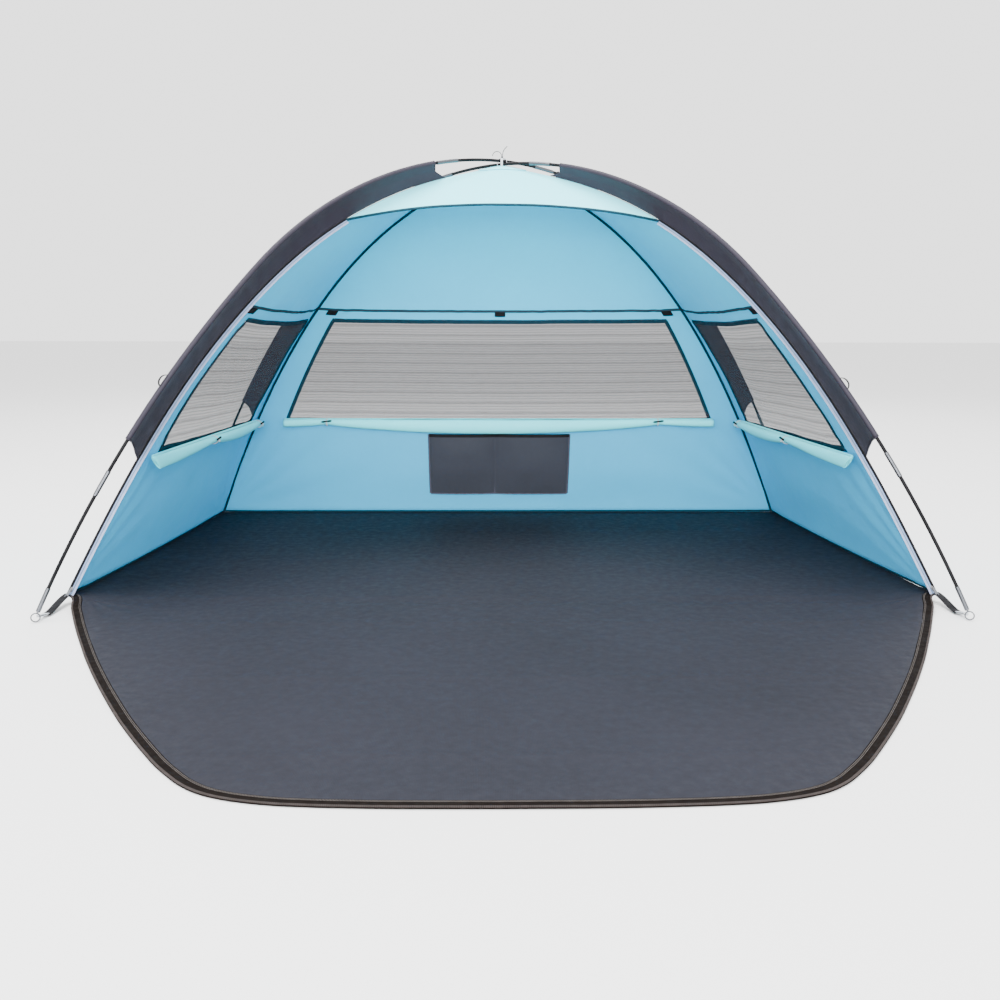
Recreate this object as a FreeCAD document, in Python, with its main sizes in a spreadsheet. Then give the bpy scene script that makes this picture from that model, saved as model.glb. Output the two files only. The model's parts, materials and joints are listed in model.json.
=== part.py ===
import FreeCAD, Part
import math
import os
import Sketcher
from FreeCAD import Vector, Placement, Rotation

# Beach shade tent: four curved fabric gores over a floor sheet, carried by two shock-corded
# poles that cross over the crown. X is to the right, Y to the rear, Z up, in millimetres.
# The origin is on the ground below the pole crossing.

os.makedirs("parts", exist_ok=True)
doc = FreeCAD.newDocument("tent")
sheet = doc.addObject("Spreadsheet::Sheet", "sizes")

SIZES = [
    ("front_width", 2200.0),
    ("rear_width", 2050.0),
    ("front_reach", 550.0),
    ("rear_reach", 650.0),
    ("crown_height", 1132.0),
    ("crown_pull_ratio", 0.4268),
    ("crown_pull_height", 1069.0),
    ("flank_pull_ratio", 0.7472),
    ("flank_pull_height", 629.2),
    ("crown_gap_ratio", 0.02),
    ("wall_inset", 2.0),
    ("wall_drop", 1.2),
    ("floor_thickness", 1.5),
    ("seam_height", 742.0),
    ("window_head", 706.0),
    ("window_sill", 360.0),
    ("wall_head", 322.0),
    ("back_window_ratio", 0.895),
    ("side_window_front", 0.425),
    ("side_window_rear", 0.545),
    ("visor_mid_height", 1019.0),
    ("visor_tip_height", 966.0),
    ("visor_tip_reach", 409.0),
    ("visor_edge_band", 9.0),
    ("crown_patch_ratio", 0.06),
    ("pole_foot_reach", 1110.0),
    ("pole_foot_depth", 705.0),
    ("pole_height_upper", 1154.5),
    ("pole_height_lower", 1145.5),
    ("pole_foot_height", 12.3),
    ("pole_crown_angle", 46.0),
    ("pole_leg_angle", 64.2),
    ("pole_diameter", 8.6),
    ("pole_bore", 5.6),
    ("ferrule_diameter", 10.6),
    ("ferrule_bore", 8.7),
    ("ferrule_length", 66.0),
    ("end_ferrule_length", 60.0),
    ("shock_cord_diameter", 3.0),
    ("crown_section_length", 330.0),
    ("section_length", 435.0),
    ("upper_pole_shift", -18.0),
    ("lower_pole_shift", -40.0),
    ("sleeve_bore", 11.2),
    ("sleeve_diameter", 13.2),
    ("fin_thickness", 1.4),
    ("fin_gap", 0.05),
    ("fin_reach_in", 40.0),
    ("fin_hem_run", 35.0),
    ("sleeve_start_front_left", 226.0),
    ("sleeve_start_front_right", 192.0),
    ("sleeve_start_rear_left", 246.0),
    ("sleeve_start_rear_right", 200.0),
    ("sleeve_stop", 1360.0),
    ("ring_radius", 10.0),
    ("ring_wire", 3.0),
    ("pin_diameter", 4.6),
    ("pin_length", 46.0),
    ("strap_width", 20.0),
    ("strap_thickness", 2.0),
    ("zip_tape_width", 16.0),
    ("zip_coil", 3.2),
    ("slider_length", 15.0),
    ("slider_width", 9.0),
    ("slider_height", 7.0),
    ("pull_length", 26.0),
    ("pull_width", 8.0),
    ("pull_thickness", 1.8),
    ("door_thickness", 1.5),
    ("door_binding_width", 24.0),
    ("door_binding_height", 2.4),
    ("door_gap", 1.0),
    ("roll_diameter", 34.0),
    ("roll_height", 345.0),
    ("roll_wall_gap", 7.0),
    ("back_roll_reach", 760.0),
    ("side_roll_front", 425.0),
    ("side_roll_rear", 490.0),
    ("toggle_length", 38.0),
    ("toggle_diameter", 7.0),
    ("toggle_loop_width", 5.0),
    ("tab_width", 35.0),
    ("back_tab_reach", 560.0),
    ("side_tab_front", 285.0),
    ("tab_height", 20.0),
    ("tab_thickness", 2.2),
    ("pocket_width", 500.0),
    ("pocket_foot", 78.0),
    ("pocket_head", 305.0),
    ("pocket_bulge", 26.0),
    ("guy_loop_length", 34.0),
    ("guy_loop_width", 12.0),
    ("guy_loop_height", 9.0),
    ("guy_loop_at", 1200.0),
    ("tie_band_width", 16.0),
    ("tie_band_reach", 14.0),
    ("tie_band_thickness", 1.4),
    ("tie_cord_diameter", 2.0),
    ("tie_knot_diameter", 6.0),
]
for row_number, (alias, value) in enumerate(SIZES, start=1):
    sheet.set("A%d" % row_number, alias)
    sheet.set("B%d" % row_number, str(value))
    sheet.setAlias("B%d" % row_number, alias)
doc.recompute()


def size(alias):
    return float(sheet.get(alias))


nodes = {}


def put_shape(name, shape, base=Vector(0, 0, 0), rotation=None):
    # One fabric or bent piece as its own object, its shape made about base.
    local = shape.copy()
    turn = rotation if rotation is not None else Rotation()
    place = Placement(base, turn)
    local.transformShape(place.inverse().toMatrix(), True)
    piece = doc.addObject("Part::Feature", name)
    piece.Label = name
    piece.Shape = local
    piece.Placement = place
    nodes[name] = piece
    return piece


def basis_matrix(along, across, outward, at):
    # Turns a shape made about the origin onto three directions at a place.
    return FreeCAD.Matrix(
        along.x, across.x, outward.x, at.x,
        along.y, across.y, outward.y, at.y,
        along.z, across.z, outward.z, at.z,
        0, 0, 0, 1,
    )


def quad_prism(points, thickness):
    # A flat four-cornered face pushed out by a vector.
    return Part.Face(Part.makePolygon(points + [points[0]])).extrude(thickness)


def name_node(name, piece):
    piece.Label = name
    nodes[name] = piece
    return piece


# ---------------------------------------------------------------- canopy surface
front_x = size("front_width") / 2
rear_x = size("rear_width") / 2
front_y = -size("front_reach")
rear_y = size("rear_reach")
floor_top = size("floor_thickness")
crown_z = size("crown_height")

CORNERS = {
    "front_left": (-front_x, front_y),
    "front_right": (front_x, front_y),
    "rear_right": (rear_x, rear_y),
    "rear_left": (-rear_x, rear_y),
}
MEAN_REACH = sum(math.hypot(x, y) for x, y in CORNERS.values()) / 4


def ridge_ratios(drop):
    # Ratio of the corner reach and height, as four pull points of one cubic.
    return [
        (0.0, crown_z - drop),
        (size("crown_pull_ratio"), size("crown_pull_height") - drop),
        (size("flank_pull_ratio"), size("flank_pull_height")),
        (1.0, floor_top + 0.3),
    ]


def blend_points(a, b, share):
    return tuple(p + (q - p) * share for p, q in zip(a, b))


def part_of_cubic(points, start, stop):
    def upper(pts, at):
        row = list(pts)
        keep = [row[-1]]
        while len(row) > 1:
            row = [blend_points(row[i], row[i + 1], at) for i in range(len(row) - 1)]
            keep.append(row[-1])
        return keep[::-1]

    def lower(pts, at):
        row = list(pts)
        keep = [row[0]]
        while len(row) > 1:
            row = [blend_points(row[i], row[i + 1], at) for i in range(len(row) - 1)]
            keep.append(row[0])
        return keep

    return lower(upper(points, start), (stop - start) / (1.0 - start))


def cubic_at(points, at):
    row = list(points)
    while len(row) > 1:
        row = [blend_points(row[i], row[i + 1], at) for i in range(len(row) - 1)]
    return row[0]


def find_at(drop, test):
    # The cubic's parameter where test(point) turns from false to true.
    low, high = 0.0, 1.0
    for _ in range(60):
        mid = (low + high) / 2
        if test(cubic_at(ridge_ratios(drop), mid)):
            high = mid
        else:
            low = mid
    return high


def ratio_at_height(height, drop=0.0):
    at = find_at(drop, lambda p: p[1] <= height)
    return cubic_at(ridge_ratios(drop), at)[0]


def ridge_edge(corner, inset, drop, start, stop):
    x, y = corner
    shrink = (MEAN_REACH - inset) / MEAN_REACH
    pts = part_of_cubic(ridge_ratios(drop), start, stop)
    curve = Part.BezierCurve()
    curve.setPoles([Vector(x * shrink * k, y * shrink * k, z) for k, z in pts])
    return curve.toShape()


def closed_from_faces(faces):
    shell = Part.makeShell(faces)
    shell.sewShape()
    solid = Part.makeSolid(Part.Shell(shell.Faces))
    if solid.Volume < 0:
        solid.reverse()
    return solid


def slab_between(outer_a, outer_b, inner_a, inner_b):
    # A closed solid between two pairs of edges that run the same way.
    faces = [
        Part.makeRuledSurface(outer_a, outer_b),
        Part.makeRuledSurface(inner_a, inner_b),
        Part.makeRuledSurface(outer_a, inner_a),
        Part.makeRuledSurface(outer_b, inner_b),
    ]
    for end in (0, 1):
        ring = [edge.Vertexes[-end].Point for edge in (outer_a, outer_b, inner_b, inner_a)]
        faces.append(Part.Face(Part.makePolygon(ring + [ring[0]])))
    return closed_from_faces(faces)


gap_start = find_at(0.0, lambda p: p[0] >= size("crown_gap_ratio"))
inset = size("wall_inset")
drop_in = size("wall_drop")


def gore(first, second):
    return slab_between(
        ridge_edge(CORNERS[first], 0.0, 0.0, gap_start, 1.0),
        ridge_edge(CORNERS[second], 0.0, 0.0, gap_start, 1.0),
        ridge_edge(CORNERS[first], inset, drop_in, gap_start, 1.0),
        ridge_edge(CORNERS[second], inset, drop_in, gap_start, 1.0),
    )


def layer(low, high):
    wide = 3000.0
    return Part.makeBox(2 * wide, 2 * wide, high - low, Vector(-wide, -wide, low))


def prism(points, direction):
    face = Part.Face(Part.makePolygon([Vector(*p) for p in points] + [Vector(*points[0])]))
    return face.extrude(Vector(*direction))


seam_z = size("seam_height")
head_z = size("window_head")
sill_z = size("window_sill")
wall_z = size("wall_head")
head_k = ratio_at_height(head_z)
sill_k = ratio_at_height(sill_z)


def split_gore(side, first, second, window):
    whole = gore(first, second)
    put_shape(side + "_upper_panel", whole.common(layer(seam_z, 1300.0)))
    band = whole.common(layer(wall_z, seam_z))
    put_shape(side + "_window_surround", band.cut(window))
    put_shape(side + "_window_mesh", band.common(window))
    put_shape(side + "_lower_wall", whole.common(layer(-10.0, wall_z)))


back_share = size("back_window_ratio")
back_half_head = back_share * head_k * 1000.0
back_half_sill = back_share * sill_k * 1000.0
back_window = prism(
    [
        (-back_half_head, 200.0, head_z),
        (back_half_head, 200.0, head_z),
        (back_half_sill, 200.0, sill_z),
        (-back_half_sill, 200.0, sill_z),
    ],
    (0, 600.0, 0),
)
split_gore("back", "rear_left", "rear_right", back_window)

front_share = size("side_window_front") * 1000.0
rear_share = size("side_window_rear") * 1000.0


def side_window(sign):
    return prism(
        [
            (sign * 400.0, -front_share * head_k, head_z),
            (sign * 400.0, rear_share * head_k, head_z),
            (sign * 400.0, rear_share * sill_k, sill_z),
            (sign * 400.0, -front_share * sill_k, sill_z),
        ],
        (sign * 800.0, 0, 0),
    )


split_gore("left", "front_left", "rear_left", side_window(-1))
split_gore("right", "rear_right", "front_right", side_window(1))

# Visor: the front gore above an arched edge, with its own edge band.
arch_mid = size("visor_mid_height")
arch_tip = size("visor_tip_height")
arch_reach = size("visor_tip_reach")


def above_arch(lift):
    arc = Part.Arc(
        Vector(-arch_reach, -700.0, arch_tip + lift),
        Vector(0, -700.0, arch_mid + lift),
        Vector(arch_reach, -700.0, arch_tip + lift),
    ).toShape()
    far = [
        Vector(arch_reach, -700.0, arch_tip + lift),
        Vector(arch_reach, -700.0, 1300.0),
        Vector(-arch_reach, -700.0, 1300.0),
        Vector(-arch_reach, -700.0, arch_tip + lift),
    ]
    wire = Part.Wire([arc, Part.makePolygon(far).Edges[0]] + Part.makePolygon(far).Edges[1:])
    return Part.Face(wire).extrude(Vector(0, 690.0, 0))


front_gore = gore("front_left", "front_right")
visor_all = front_gore.common(above_arch(0.0))
visor_top = front_gore.common(above_arch(size("visor_edge_band")))
put_shape("visor_panel", visor_top)
put_shape("visor_edge_band", visor_all.cut(above_arch(size("visor_edge_band"))))

# Crown patch: a shallow four-sided cap over the small gap where the gores meet.
patch_k = size("crown_patch_ratio")
patch_z = cubic_at(ridge_ratios(0.0), find_at(0.0, lambda p: p[0] >= patch_k))[1]
rim = [(CORNERS[n][0] * patch_k, CORNERS[n][1] * patch_k) for n in CORNERS]
low_rim = [Vector(x, y, patch_z + 1.0) for x, y in rim]
high_rim = [Vector(x, y, patch_z + 2.2) for x, y in rim]
low_tip = Vector(0, 0, crown_z + 1.0)
high_tip = Vector(0, 0, crown_z + 2.2)
patch_faces = []
for i in range(4):
    j = (i + 1) % 4
    patch_faces.append(Part.Face(Part.makePolygon([low_rim[i], low_rim[j], low_tip, low_rim[i]])))
    patch_faces.append(Part.Face(Part.makePolygon([high_rim[i], high_rim[j], high_tip, high_rim[i]])))
    side_ring = [low_rim[i], low_rim[j], high_rim[j], high_rim[i], low_rim[i]]
    patch_faces.append(Part.Face(Part.makePolygon(side_ring)))
put_shape("crown_patch", closed_from_faces(patch_faces))

# Dark binding sewn along the two rear ridges, on the inside.
bind_start = find_at(0.0, lambda p: p[0] >= 0.36)
bind_stop = find_at(0.0, lambda p: p[0] >= 0.985)
for side, sign in (("left", -1), ("right", 1)):
    corner = CORNERS["rear_" + side]
    reach = math.hypot(*corner)
    across = Vector(-corner[1] / reach * 2.5, corner[0] / reach * 2.5, 0)
    near = ridge_edge(corner, 9.0, 6.0, bind_start, bind_stop)
    deep = ridge_edge(corner, 11.0, 7.5, bind_start, bind_stop)
    edges = []
    for edge, way in ((near, 1), (near, -1), (deep, 1), (deep, -1)):
        moved = edge.copy()
        moved.translate(across * way)
        edges.append(moved)
    put_shape("rear_ridge_binding_" + side, slab_between(*edges))

# ---------------------------------------------------------------- floor sheet
floor_body = doc.addObject("PartDesign::Body", "floor_sheet_body")
sketch = floor_body.newObject("Sketcher::SketchObject", "floor_outline")
outline = [
    Vector(-front_x, front_y, 0),
    Vector(front_x, front_y, 0),
    Vector(rear_x, rear_y, 0),
    Vector(-rear_x, rear_y, 0),
]
for i in range(4):
    sketch.addGeometry(Part.LineSegment(outline[i], outline[(i + 1) % 4]), False)
for i in range(4):
    sketch.addConstraint(Sketcher.Constraint("Coincident", i, 2, (i + 1) % 4, 1))
drives = [
    (0, 1, "DistanceX", -front_x, "-sizes.front_width / 2"),
    (0, 1, "DistanceY", front_y, "-sizes.front_reach"),
    (1, 1, "DistanceX", front_x, "sizes.front_width / 2"),
    (1, 1, "DistanceY", front_y, "-sizes.front_reach"),
    (2, 1, "DistanceX", rear_x, "sizes.rear_width / 2"),
    (2, 1, "DistanceY", rear_y, "sizes.rear_reach"),
    (3, 1, "DistanceX", -rear_x, "-sizes.rear_width / 2"),
    (3, 1, "DistanceY", rear_y, "sizes.rear_reach"),
]
for line, point, kind, value, formula in drives:
    number = sketch.addConstraint(Sketcher.Constraint(kind, -1, 1, line, point, value))
    sketch.setExpression("Constraints[%d]" % number, formula)
pad = floor_body.newObject("PartDesign::Pad", "floor_pad")
pad.Profile = sketch
pad.setExpression("Length", "sizes.floor_thickness")
doc.recompute()
name_node("floor_sheet", floor_body)

# ---------------------------------------------------------------- door panel
# The door lies flat in front, hinged along the front edge of the floor.
DOOR_EDGE = [
    (0.0, 1072.0),
    (35.0, 1072.0),
    (70.0, 1062.0),
    (110.0, 1043.0),
    (222.0, 989.0),
    (329.0, 935.0),
    (426.0, 885.0),
    (544.0, 820.0),
    (649.0, 759.0),
    (743.0, 702.0),
    (828.0, 646.0),
    (887.0, 605.0),
    (924.0, 578.0),
    (960.0, 548.0),
    (994.0, 516.0),
    (1024.0, 474.0),
    (1046.0, 415.0),
    (1060.0, 335.0),
    (1068.0, 190.0),
    (1070.0, 0.0),
]
hinge_y = front_y - size("door_gap")
right_side = [Vector(w, hinge_y - r, 0) for r, w in DOOR_EDGE]
left_side = [Vector(-w, hinge_y - r, 0) for r, w in DOOR_EDGE[:-1]]
rim_curve = Part.BSplineCurve()
rim_curve.interpolate(right_side + left_side[::-1])
rim_edge = rim_curve.toShape()
base_edge = Part.makeLine(left_side[0], right_side[0])
door_wire = Part.Wire([rim_edge, base_edge])
door_face = Part.Face(door_wire)
binding_width = size("door_binding_width")
inner_curve = Part.BSplineCurve()


def inward(points):
    # The same edge moved in by the binding's width, kept open at the hinge side.
    moved = []
    for i, point in enumerate(points):
        before = points[max(i - 1, 0)]
        after = points[min(i + 1, len(points) - 1)]
        along = (after - before).normalize()
        moved.append(point + Vector(-along.y, along.x, 0) * -binding_width)
    moved[0] = Vector(moved[0].x, hinge_y, 0)
    moved[-1] = Vector(moved[-1].x, hinge_y, 0)
    return moved


inner_points = inward(right_side + left_side[::-1])
if inner_points[0].x > right_side[0].x:
    binding_width = -binding_width
    inner_points = inward(right_side + left_side[::-1])
inner_curve.interpolate(inner_points)
inner_edge = inner_curve.toShape()
inner_base = Part.makeLine(inner_points[-1], inner_points[0])
inner_face = Part.Face(Part.Wire([inner_edge, inner_base]))
door_panel = inner_face.extrude(Vector(0, 0, size("door_thickness")))
binding_left = Part.makeLine(left_side[0], inner_points[-1])
binding_right = Part.makeLine(inner_points[0], right_side[0])
binding_wire = Part.Wire([rim_edge, binding_left, inner_edge, binding_right])
binding = Part.Face(binding_wire).extrude(Vector(0, 0, size("door_binding_height")))
door_base = Vector(0, hinge_y, 0)
put_shape("door_panel", door_panel, door_base)
put_shape("door_binding", binding, door_base)

# ---------------------------------------------------------------- poles
foot_x = size("pole_foot_reach")
foot_y = size("pole_foot_depth")
foot_z = size("pole_foot_height")
foot_reach = math.hypot(foot_x, foot_y)
crown_turn = math.radians(size("pole_crown_angle"))
leg_turn = math.radians(size("pole_leg_angle"))


class BentPole:
    # A pole in one upright plane: a tighter arc over the crown, a flatter arc down each leg.
    def __init__(self, along_x, along_y, top):
        self.out = Vector(along_x / foot_reach, along_y / foot_reach, 0)
        self.turn_axis = Vector(-self.out.y, self.out.x, 0)
        self.top = top
        sin_a, cos_a = math.sin(crown_turn), math.cos(crown_turn)
        sin_b, cos_b = math.sin(leg_turn), math.cos(leg_turn)
        drop = top - foot_z
        base = sin_a * (cos_a - cos_b) - (sin_b - sin_a) * (1 - cos_a)
        self.crown_radius = (foot_reach * (cos_a - cos_b) - (sin_b - sin_a) * drop) / base
        self.leg_radius = (sin_a * drop - (1 - cos_a) * foot_reach) / base
        self.crown_length = self.crown_radius * crown_turn
        self.half_length = self.crown_length + self.leg_radius * (leg_turn - crown_turn)

    def frame_at(self, s):
        # Arc centre, radius and angle from upright at arc length s from the crown.
        side = 1.0 if s >= 0 else -1.0
        if abs(s) <= self.crown_length:
            centre = (0.0, self.top - self.crown_radius)
            return centre, self.crown_radius, s / self.crown_radius
        over = (abs(s) - self.crown_length) / self.leg_radius
        gap = self.leg_radius - self.crown_radius
        centre = (
            -side * gap * math.sin(crown_turn),
            self.top - self.crown_radius - gap * math.cos(crown_turn),
        )
        return centre, self.leg_radius, side * (crown_turn + over)

    def to_space(self, reach, height):
        return Vector(self.out.x * reach, self.out.y * reach, height)

    def point(self, s, lift=0.0):
        centre, radius, angle = self.frame_at(s)
        reach = centre[0] + (radius + lift) * math.sin(angle)
        return self.to_space(reach, centre[1] + (radius + lift) * math.cos(angle))

    def along(self, s):
        angle = self.frame_at(s)[2]
        return Vector(
            self.out.x * math.cos(angle), self.out.y * math.cos(angle), -math.sin(angle)
        )

    def spans(self, start, stop):
        marks = [start]
        for mark in (-self.crown_length, self.crown_length):
            if start < mark < stop:
                marks.append(mark)
        marks.append(stop)
        return list(zip(marks[:-1], marks[1:]))

    def tube(self, start, stop, outer, bore):
        pieces = []
        for begin, end in self.spans(start, stop):
            middle = (begin + end) / 2
            centre, radius, _ = self.frame_at(middle)
            angle = math.degrees((end - begin) / radius)
            ring = Part.Wire(Part.makeCircle(outer / 2, self.point(begin), self.along(begin)))
            profile = Part.Face(ring)
            axis_point = self.to_space(*centre)
            solid = profile.revolve(axis_point, self.turn_axis, angle)
            if bore > 0:
                hole_ring = Part.Wire(
                    Part.makeCircle(bore / 2, self.point(begin), self.along(begin))
                )
                solid = solid.cut(Part.Face(hole_ring).revolve(axis_point, self.turn_axis, angle))
            pieces.append(solid)
        result = pieces[0]
        if len(pieces) > 1:
            result = result.fuse(pieces[1:])
        return result


pole_a = BentPole(foot_x, foot_y, size("pole_height_upper"))
pole_b = BentPole(foot_x, -foot_y, size("pole_height_lower"))
ring_outer = size("ring_radius") + size("ring_wire") / 2
RING_CLEARANCE = 3.0
SHOCK_CORD_CLEARANCE = 6.0
pole_bore = size("pole_bore")
pole_od = size("pole_diameter")
ferrule_od = size("ferrule_diameter")
ferrule_bore = size("ferrule_bore")
half_ferrule = size("ferrule_length") / 2
JOINTS_PER_SIDE = 4

for label, pole, shift, near_end, far_end in (
    ("pole_a", pole_a, size("upper_pole_shift"), "front_left", "rear_right"),
    ("pole_b", pole_b, size("lower_pole_shift"), "rear_left", "front_right"),
):
    # Each pole has sections of one length, and a short one over the crown.
    stop = pole.half_length - ring_outer - RING_CLEARANCE
    half_crown = size("crown_section_length") / 2
    put_shape(
        label + "_crown_section",
        pole.tube(shift - half_crown, shift + half_crown, pole_od, pole_bore),
    )
    bands = []
    for sign, end in ((-1, near_end), (1, far_end)):
        joint_places = [
            shift + sign * (half_crown + i * size("section_length")) for i in range(JOINTS_PER_SIDE)
        ]
        inner_spans = []
        for first, second in zip(joint_places[:-1], joint_places[1:]):
            lo, hi = sorted((first, second))
            inner_spans.append(pole.tube(lo, hi, pole_od, pole_bore))
        put_shape("%s_%s_sleeved_sections" % (label, end), Part.makeCompound(inner_spans))
        lo, hi = sorted((joint_places[-1], sign * stop))
        put_shape("%s_%s_leg_section" % (label, end), pole.tube(lo, hi, pole_od, pole_bore))
        for place in joint_places:
            band = pole.tube(place - half_ferrule, place + half_ferrule, ferrule_od, ferrule_bore)
            bands.append(band)
        lo, hi = sorted((sign * (stop - size("end_ferrule_length")), sign * stop))
        bands.append(pole.tube(lo, hi, ferrule_od, ferrule_bore))
    put_shape(label + "_ferrules", Part.makeCompound(bands))
    cord_stop = stop - size("pin_length") - SHOCK_CORD_CLEARANCE
    put_shape(
        label + "_shock_cord",
        pole.tube(-cord_stop, cord_stop, size("shock_cord_diameter"), 0.0),
    )

# ---------------------------------------------------------------- rings with pins
rings = []
for end, pole, sign in (
    ("front_left", pole_a, -1),
    ("rear_right", pole_a, 1),
    ("rear_left", pole_b, -1),
    ("front_right", pole_b, 1),
):
    foot = pole.point(sign * pole.half_length)
    upward = pole.along(sign * pole.half_length) * -sign
    face_way = pole.turn_axis
    ring = doc.addObject("Part::Torus", "ring_" + end)
    ring.setExpression("Radius1", "sizes.ring_radius")
    ring.setExpression("Radius2", "sizes.ring_wire / 2")
    ring.Placement = Placement(foot, Rotation(Vector(0, 0, 1), face_way))
    pin = doc.addObject("Part::Cylinder", "pin_" + end)
    pin.setExpression("Radius", "sizes.pin_diameter / 2")
    pin.setExpression("Height", "sizes.pin_length")
    pin_foot = foot + upward * size("ring_radius")
    pin.Placement = Placement(pin_foot, Rotation(Vector(0, 0, 1), upward))
    joined = doc.addObject("Part::MultiFuse", "ring_pin_" + end)
    joined.Shapes = [ring, pin]
    rings.append((end, foot, upward, joined))
ring_pins = doc.addObject("Part::Compound", "ring_pins")
ring_pins.Links = [joined for end, foot, upward, joined in rings]
doc.recompute()
name_node("ring_pins", ring_pins)

# ---------------------------------------------------------------- corner straps and links
STRAP_LIFT = 3.2
STRAP_START = 3.0
LINK_LENGTH = 48.0
LINK_THICKNESS = 3.0
straps = []
links = []
for end, foot, upward, joined in rings:
    corner = CORNERS[end]
    start = Vector(corner[0], corner[1], 0)
    target = Vector(foot.x, foot.y, 0)
    away = (target - start).normalize()
    side = Vector(-away.y, away.x, 0)
    span = (target - start).Length
    width = size("strap_width") / 2
    low = STRAP_LIFT
    thick = size("strap_thickness")
    strap_begin = STRAP_START
    link_begin = span - LINK_LENGTH

    def bar(begin, stop, half_a, half_b, z_high, height):
        near = start + away * begin + Vector(0, 0, low)
        far = start + away * stop + Vector(0, 0, z_high)
        quad = [
            near + side * half_a,
            near - side * half_a,
            far - side * half_b,
            far + side * half_b,
        ]
        return quad_prism(quad, Vector(0, 0, height))

    straps.append(bar(strap_begin, link_begin, width, width, low, thick))
    link_stop = span - ring_outer - 1.0
    link_end_z = foot.z - 2.0
    links.append(bar(link_begin + 0.3, link_stop, width * 0.75, 3.0, link_end_z, LINK_THICKNESS))
put_shape("corner_straps", Part.makeCompound(straps))
put_shape("strap_links", Part.makeCompound(links))

# ---------------------------------------------------------------- pole sleeves
sleeve_od = size("sleeve_diameter")
sleeve_bore = size("sleeve_bore")
fin_half = size("fin_thickness") / 2
FIN_STEPS = 20
RIDGE_OUT = 2.2
RIDGE_UP = 1.6


def fin_rows(pole, sign, corner, begin, stop):
    # Pairs of points: one under the channel, one on the ridge, which runs a little further.
    rows = []
    hem = size("fin_hem_run")
    grow = (math.hypot(*corner) + RIDGE_OUT) / math.hypot(*corner)
    for i in range(FIN_STEPS + 1):
        share = i / FIN_STEPS
        at_pole = sign * (begin + (stop - begin) * share)
        at_ridge = sign * (begin - hem + (stop - begin + 2 * hem) * share)
        outer_point = pole.point(at_pole, -sleeve_od / 2 - size("fin_gap"))
        ridge_z = pole.point(at_ridge, -size("fin_reach_in")).z
        k = ratio_at_height(ridge_z)
        inner_point = Vector(corner[0] * k * grow, corner[1] * k * grow, ridge_z + RIDGE_UP)
        rows.append((outer_point, inner_point))
    return rows


def folded_plate(rows, half):
    # A closed plate through the rows, its two faces made of plane triangles.
    faces = []

    def flat(*points):
        faces.append(Part.Face(Part.makePolygon(list(points) + [points[0]])))

    for (a, b), (c, d) in zip(rows[:-1], rows[1:]):
        for offset in (half, half * -1):
            flat(a + offset, b + offset, c + offset)
            flat(b + offset, d + offset, c + offset)
        flat(a + half, c + half, c - half, a - half)
        flat(b + half, d + half, d - half, b - half)
    for a, b in (rows[0], rows[-1]):
        flat(a + half, b + half, b - half, a - half)
    return closed_from_faces(faces)


for end, pole, sign in (
    ("front_left", pole_a, -1),
    ("rear_right", pole_a, 1),
    ("rear_left", pole_b, -1),
    ("front_right", pole_b, 1),
):
    begin = size("sleeve_start_" + end)
    stop = size("sleeve_stop")
    lo, hi = sorted((sign * begin, sign * stop))
    channel = pole.tube(lo, hi, sleeve_od, sleeve_bore)
    rows = fin_rows(pole, sign, CORNERS[end], begin, stop)
    fin = folded_plate(rows, pole.turn_axis * fin_half)
    put_shape("pole_sleeve_" + end, Part.makeCompound([channel, fin]))

# ---------------------------------------------------------------- guy-out loops on the front sleeves
loops = []
LOOP_TAPE = 1.5
for pole, sign in ((pole_a, -1), (pole_b, 1)):
    s = sign * size("guy_loop_at")
    at = pole.point(s, sleeve_od / 2 + 0.3)
    outward = (pole.point(s, 10.0) - pole.point(s)).normalize()
    length = size("guy_loop_length")
    width = size("guy_loop_width")
    height = size("guy_loop_height")
    loop = Part.makeBox(length, width, height, Vector(-length / 2, -width / 2, 0))
    hole_corner = Vector(LOOP_TAPE - length / 2, -width, LOOP_TAPE)
    hole = Part.makeBox(length - 2 * LOOP_TAPE, 2 * width, height - 2 * LOOP_TAPE, hole_corner)
    loop = loop.cut(hole)
    loop.transformShape(basis_matrix(pole.along(s), pole.turn_axis, outward, at), True)
    loops.append(loop)
put_shape("guy_out_loops", Part.makeCompound(loops))

# ---------------------------------------------------------------- crown tie
BAND_GAP = 1.2
POLE_GAP = 0.6
band_width = size("tie_band_width")
band_reach = size("tie_band_reach")
band_wall = size("tie_band_thickness")
band_low = crown_z + 3.2
upper_top = size("pole_height_upper") + pole_od / 2
band_top = upper_top + BAND_GAP + band_wall
band_corner = Vector(-band_reach, -band_width / 2, band_low)
tie_band = Part.makeBox(2 * band_reach, band_width, band_top - band_low, band_corner)
hollow_half = band_reach - band_wall
hollow_corner = Vector(-hollow_half, -band_width, band_low + 1.0)
hollow_height = upper_top + BAND_GAP - band_low - 1.0
tie_band = tie_band.cut(Part.makeBox(2 * hollow_half, 2 * band_width, hollow_height, hollow_corner))
for pole in (pole_a, pole_b):
    tie_band = tie_band.cut(pole.tube(-60.0, 60.0, pole_od + POLE_GAP, 0.0))
put_shape("crown_tie_band", tie_band)

# Thin cord that ties the poles together: a knot on the band and two short free tails.
knot_radius = size("tie_knot_diameter") / 2
knot_z = band_top + knot_radius + 0.2
cord_r = size("tie_cord_diameter") / 2
ROUND_SHARE = 0.45
SHORT_TAIL = [
    (-1.4, 0.0, 1.0),
    (-1.6, 0.0, 9.0),
    (-8.5, -1.0, 15.5),
    (-18.5, -1.0, 16.5),
    (-26.5, 0.0, 10.5),
    (-27.5, 0.5, 4.0),
]
LONG_TAIL = [
    (1.4, 0.0, 1.0),
    (1.4, 0.0, 9.0),
    (3.4, 0.0, 17.5),
    (8.2, 0.0, 25.0),
    (14.8, 0.0, 30.7),
]


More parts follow.
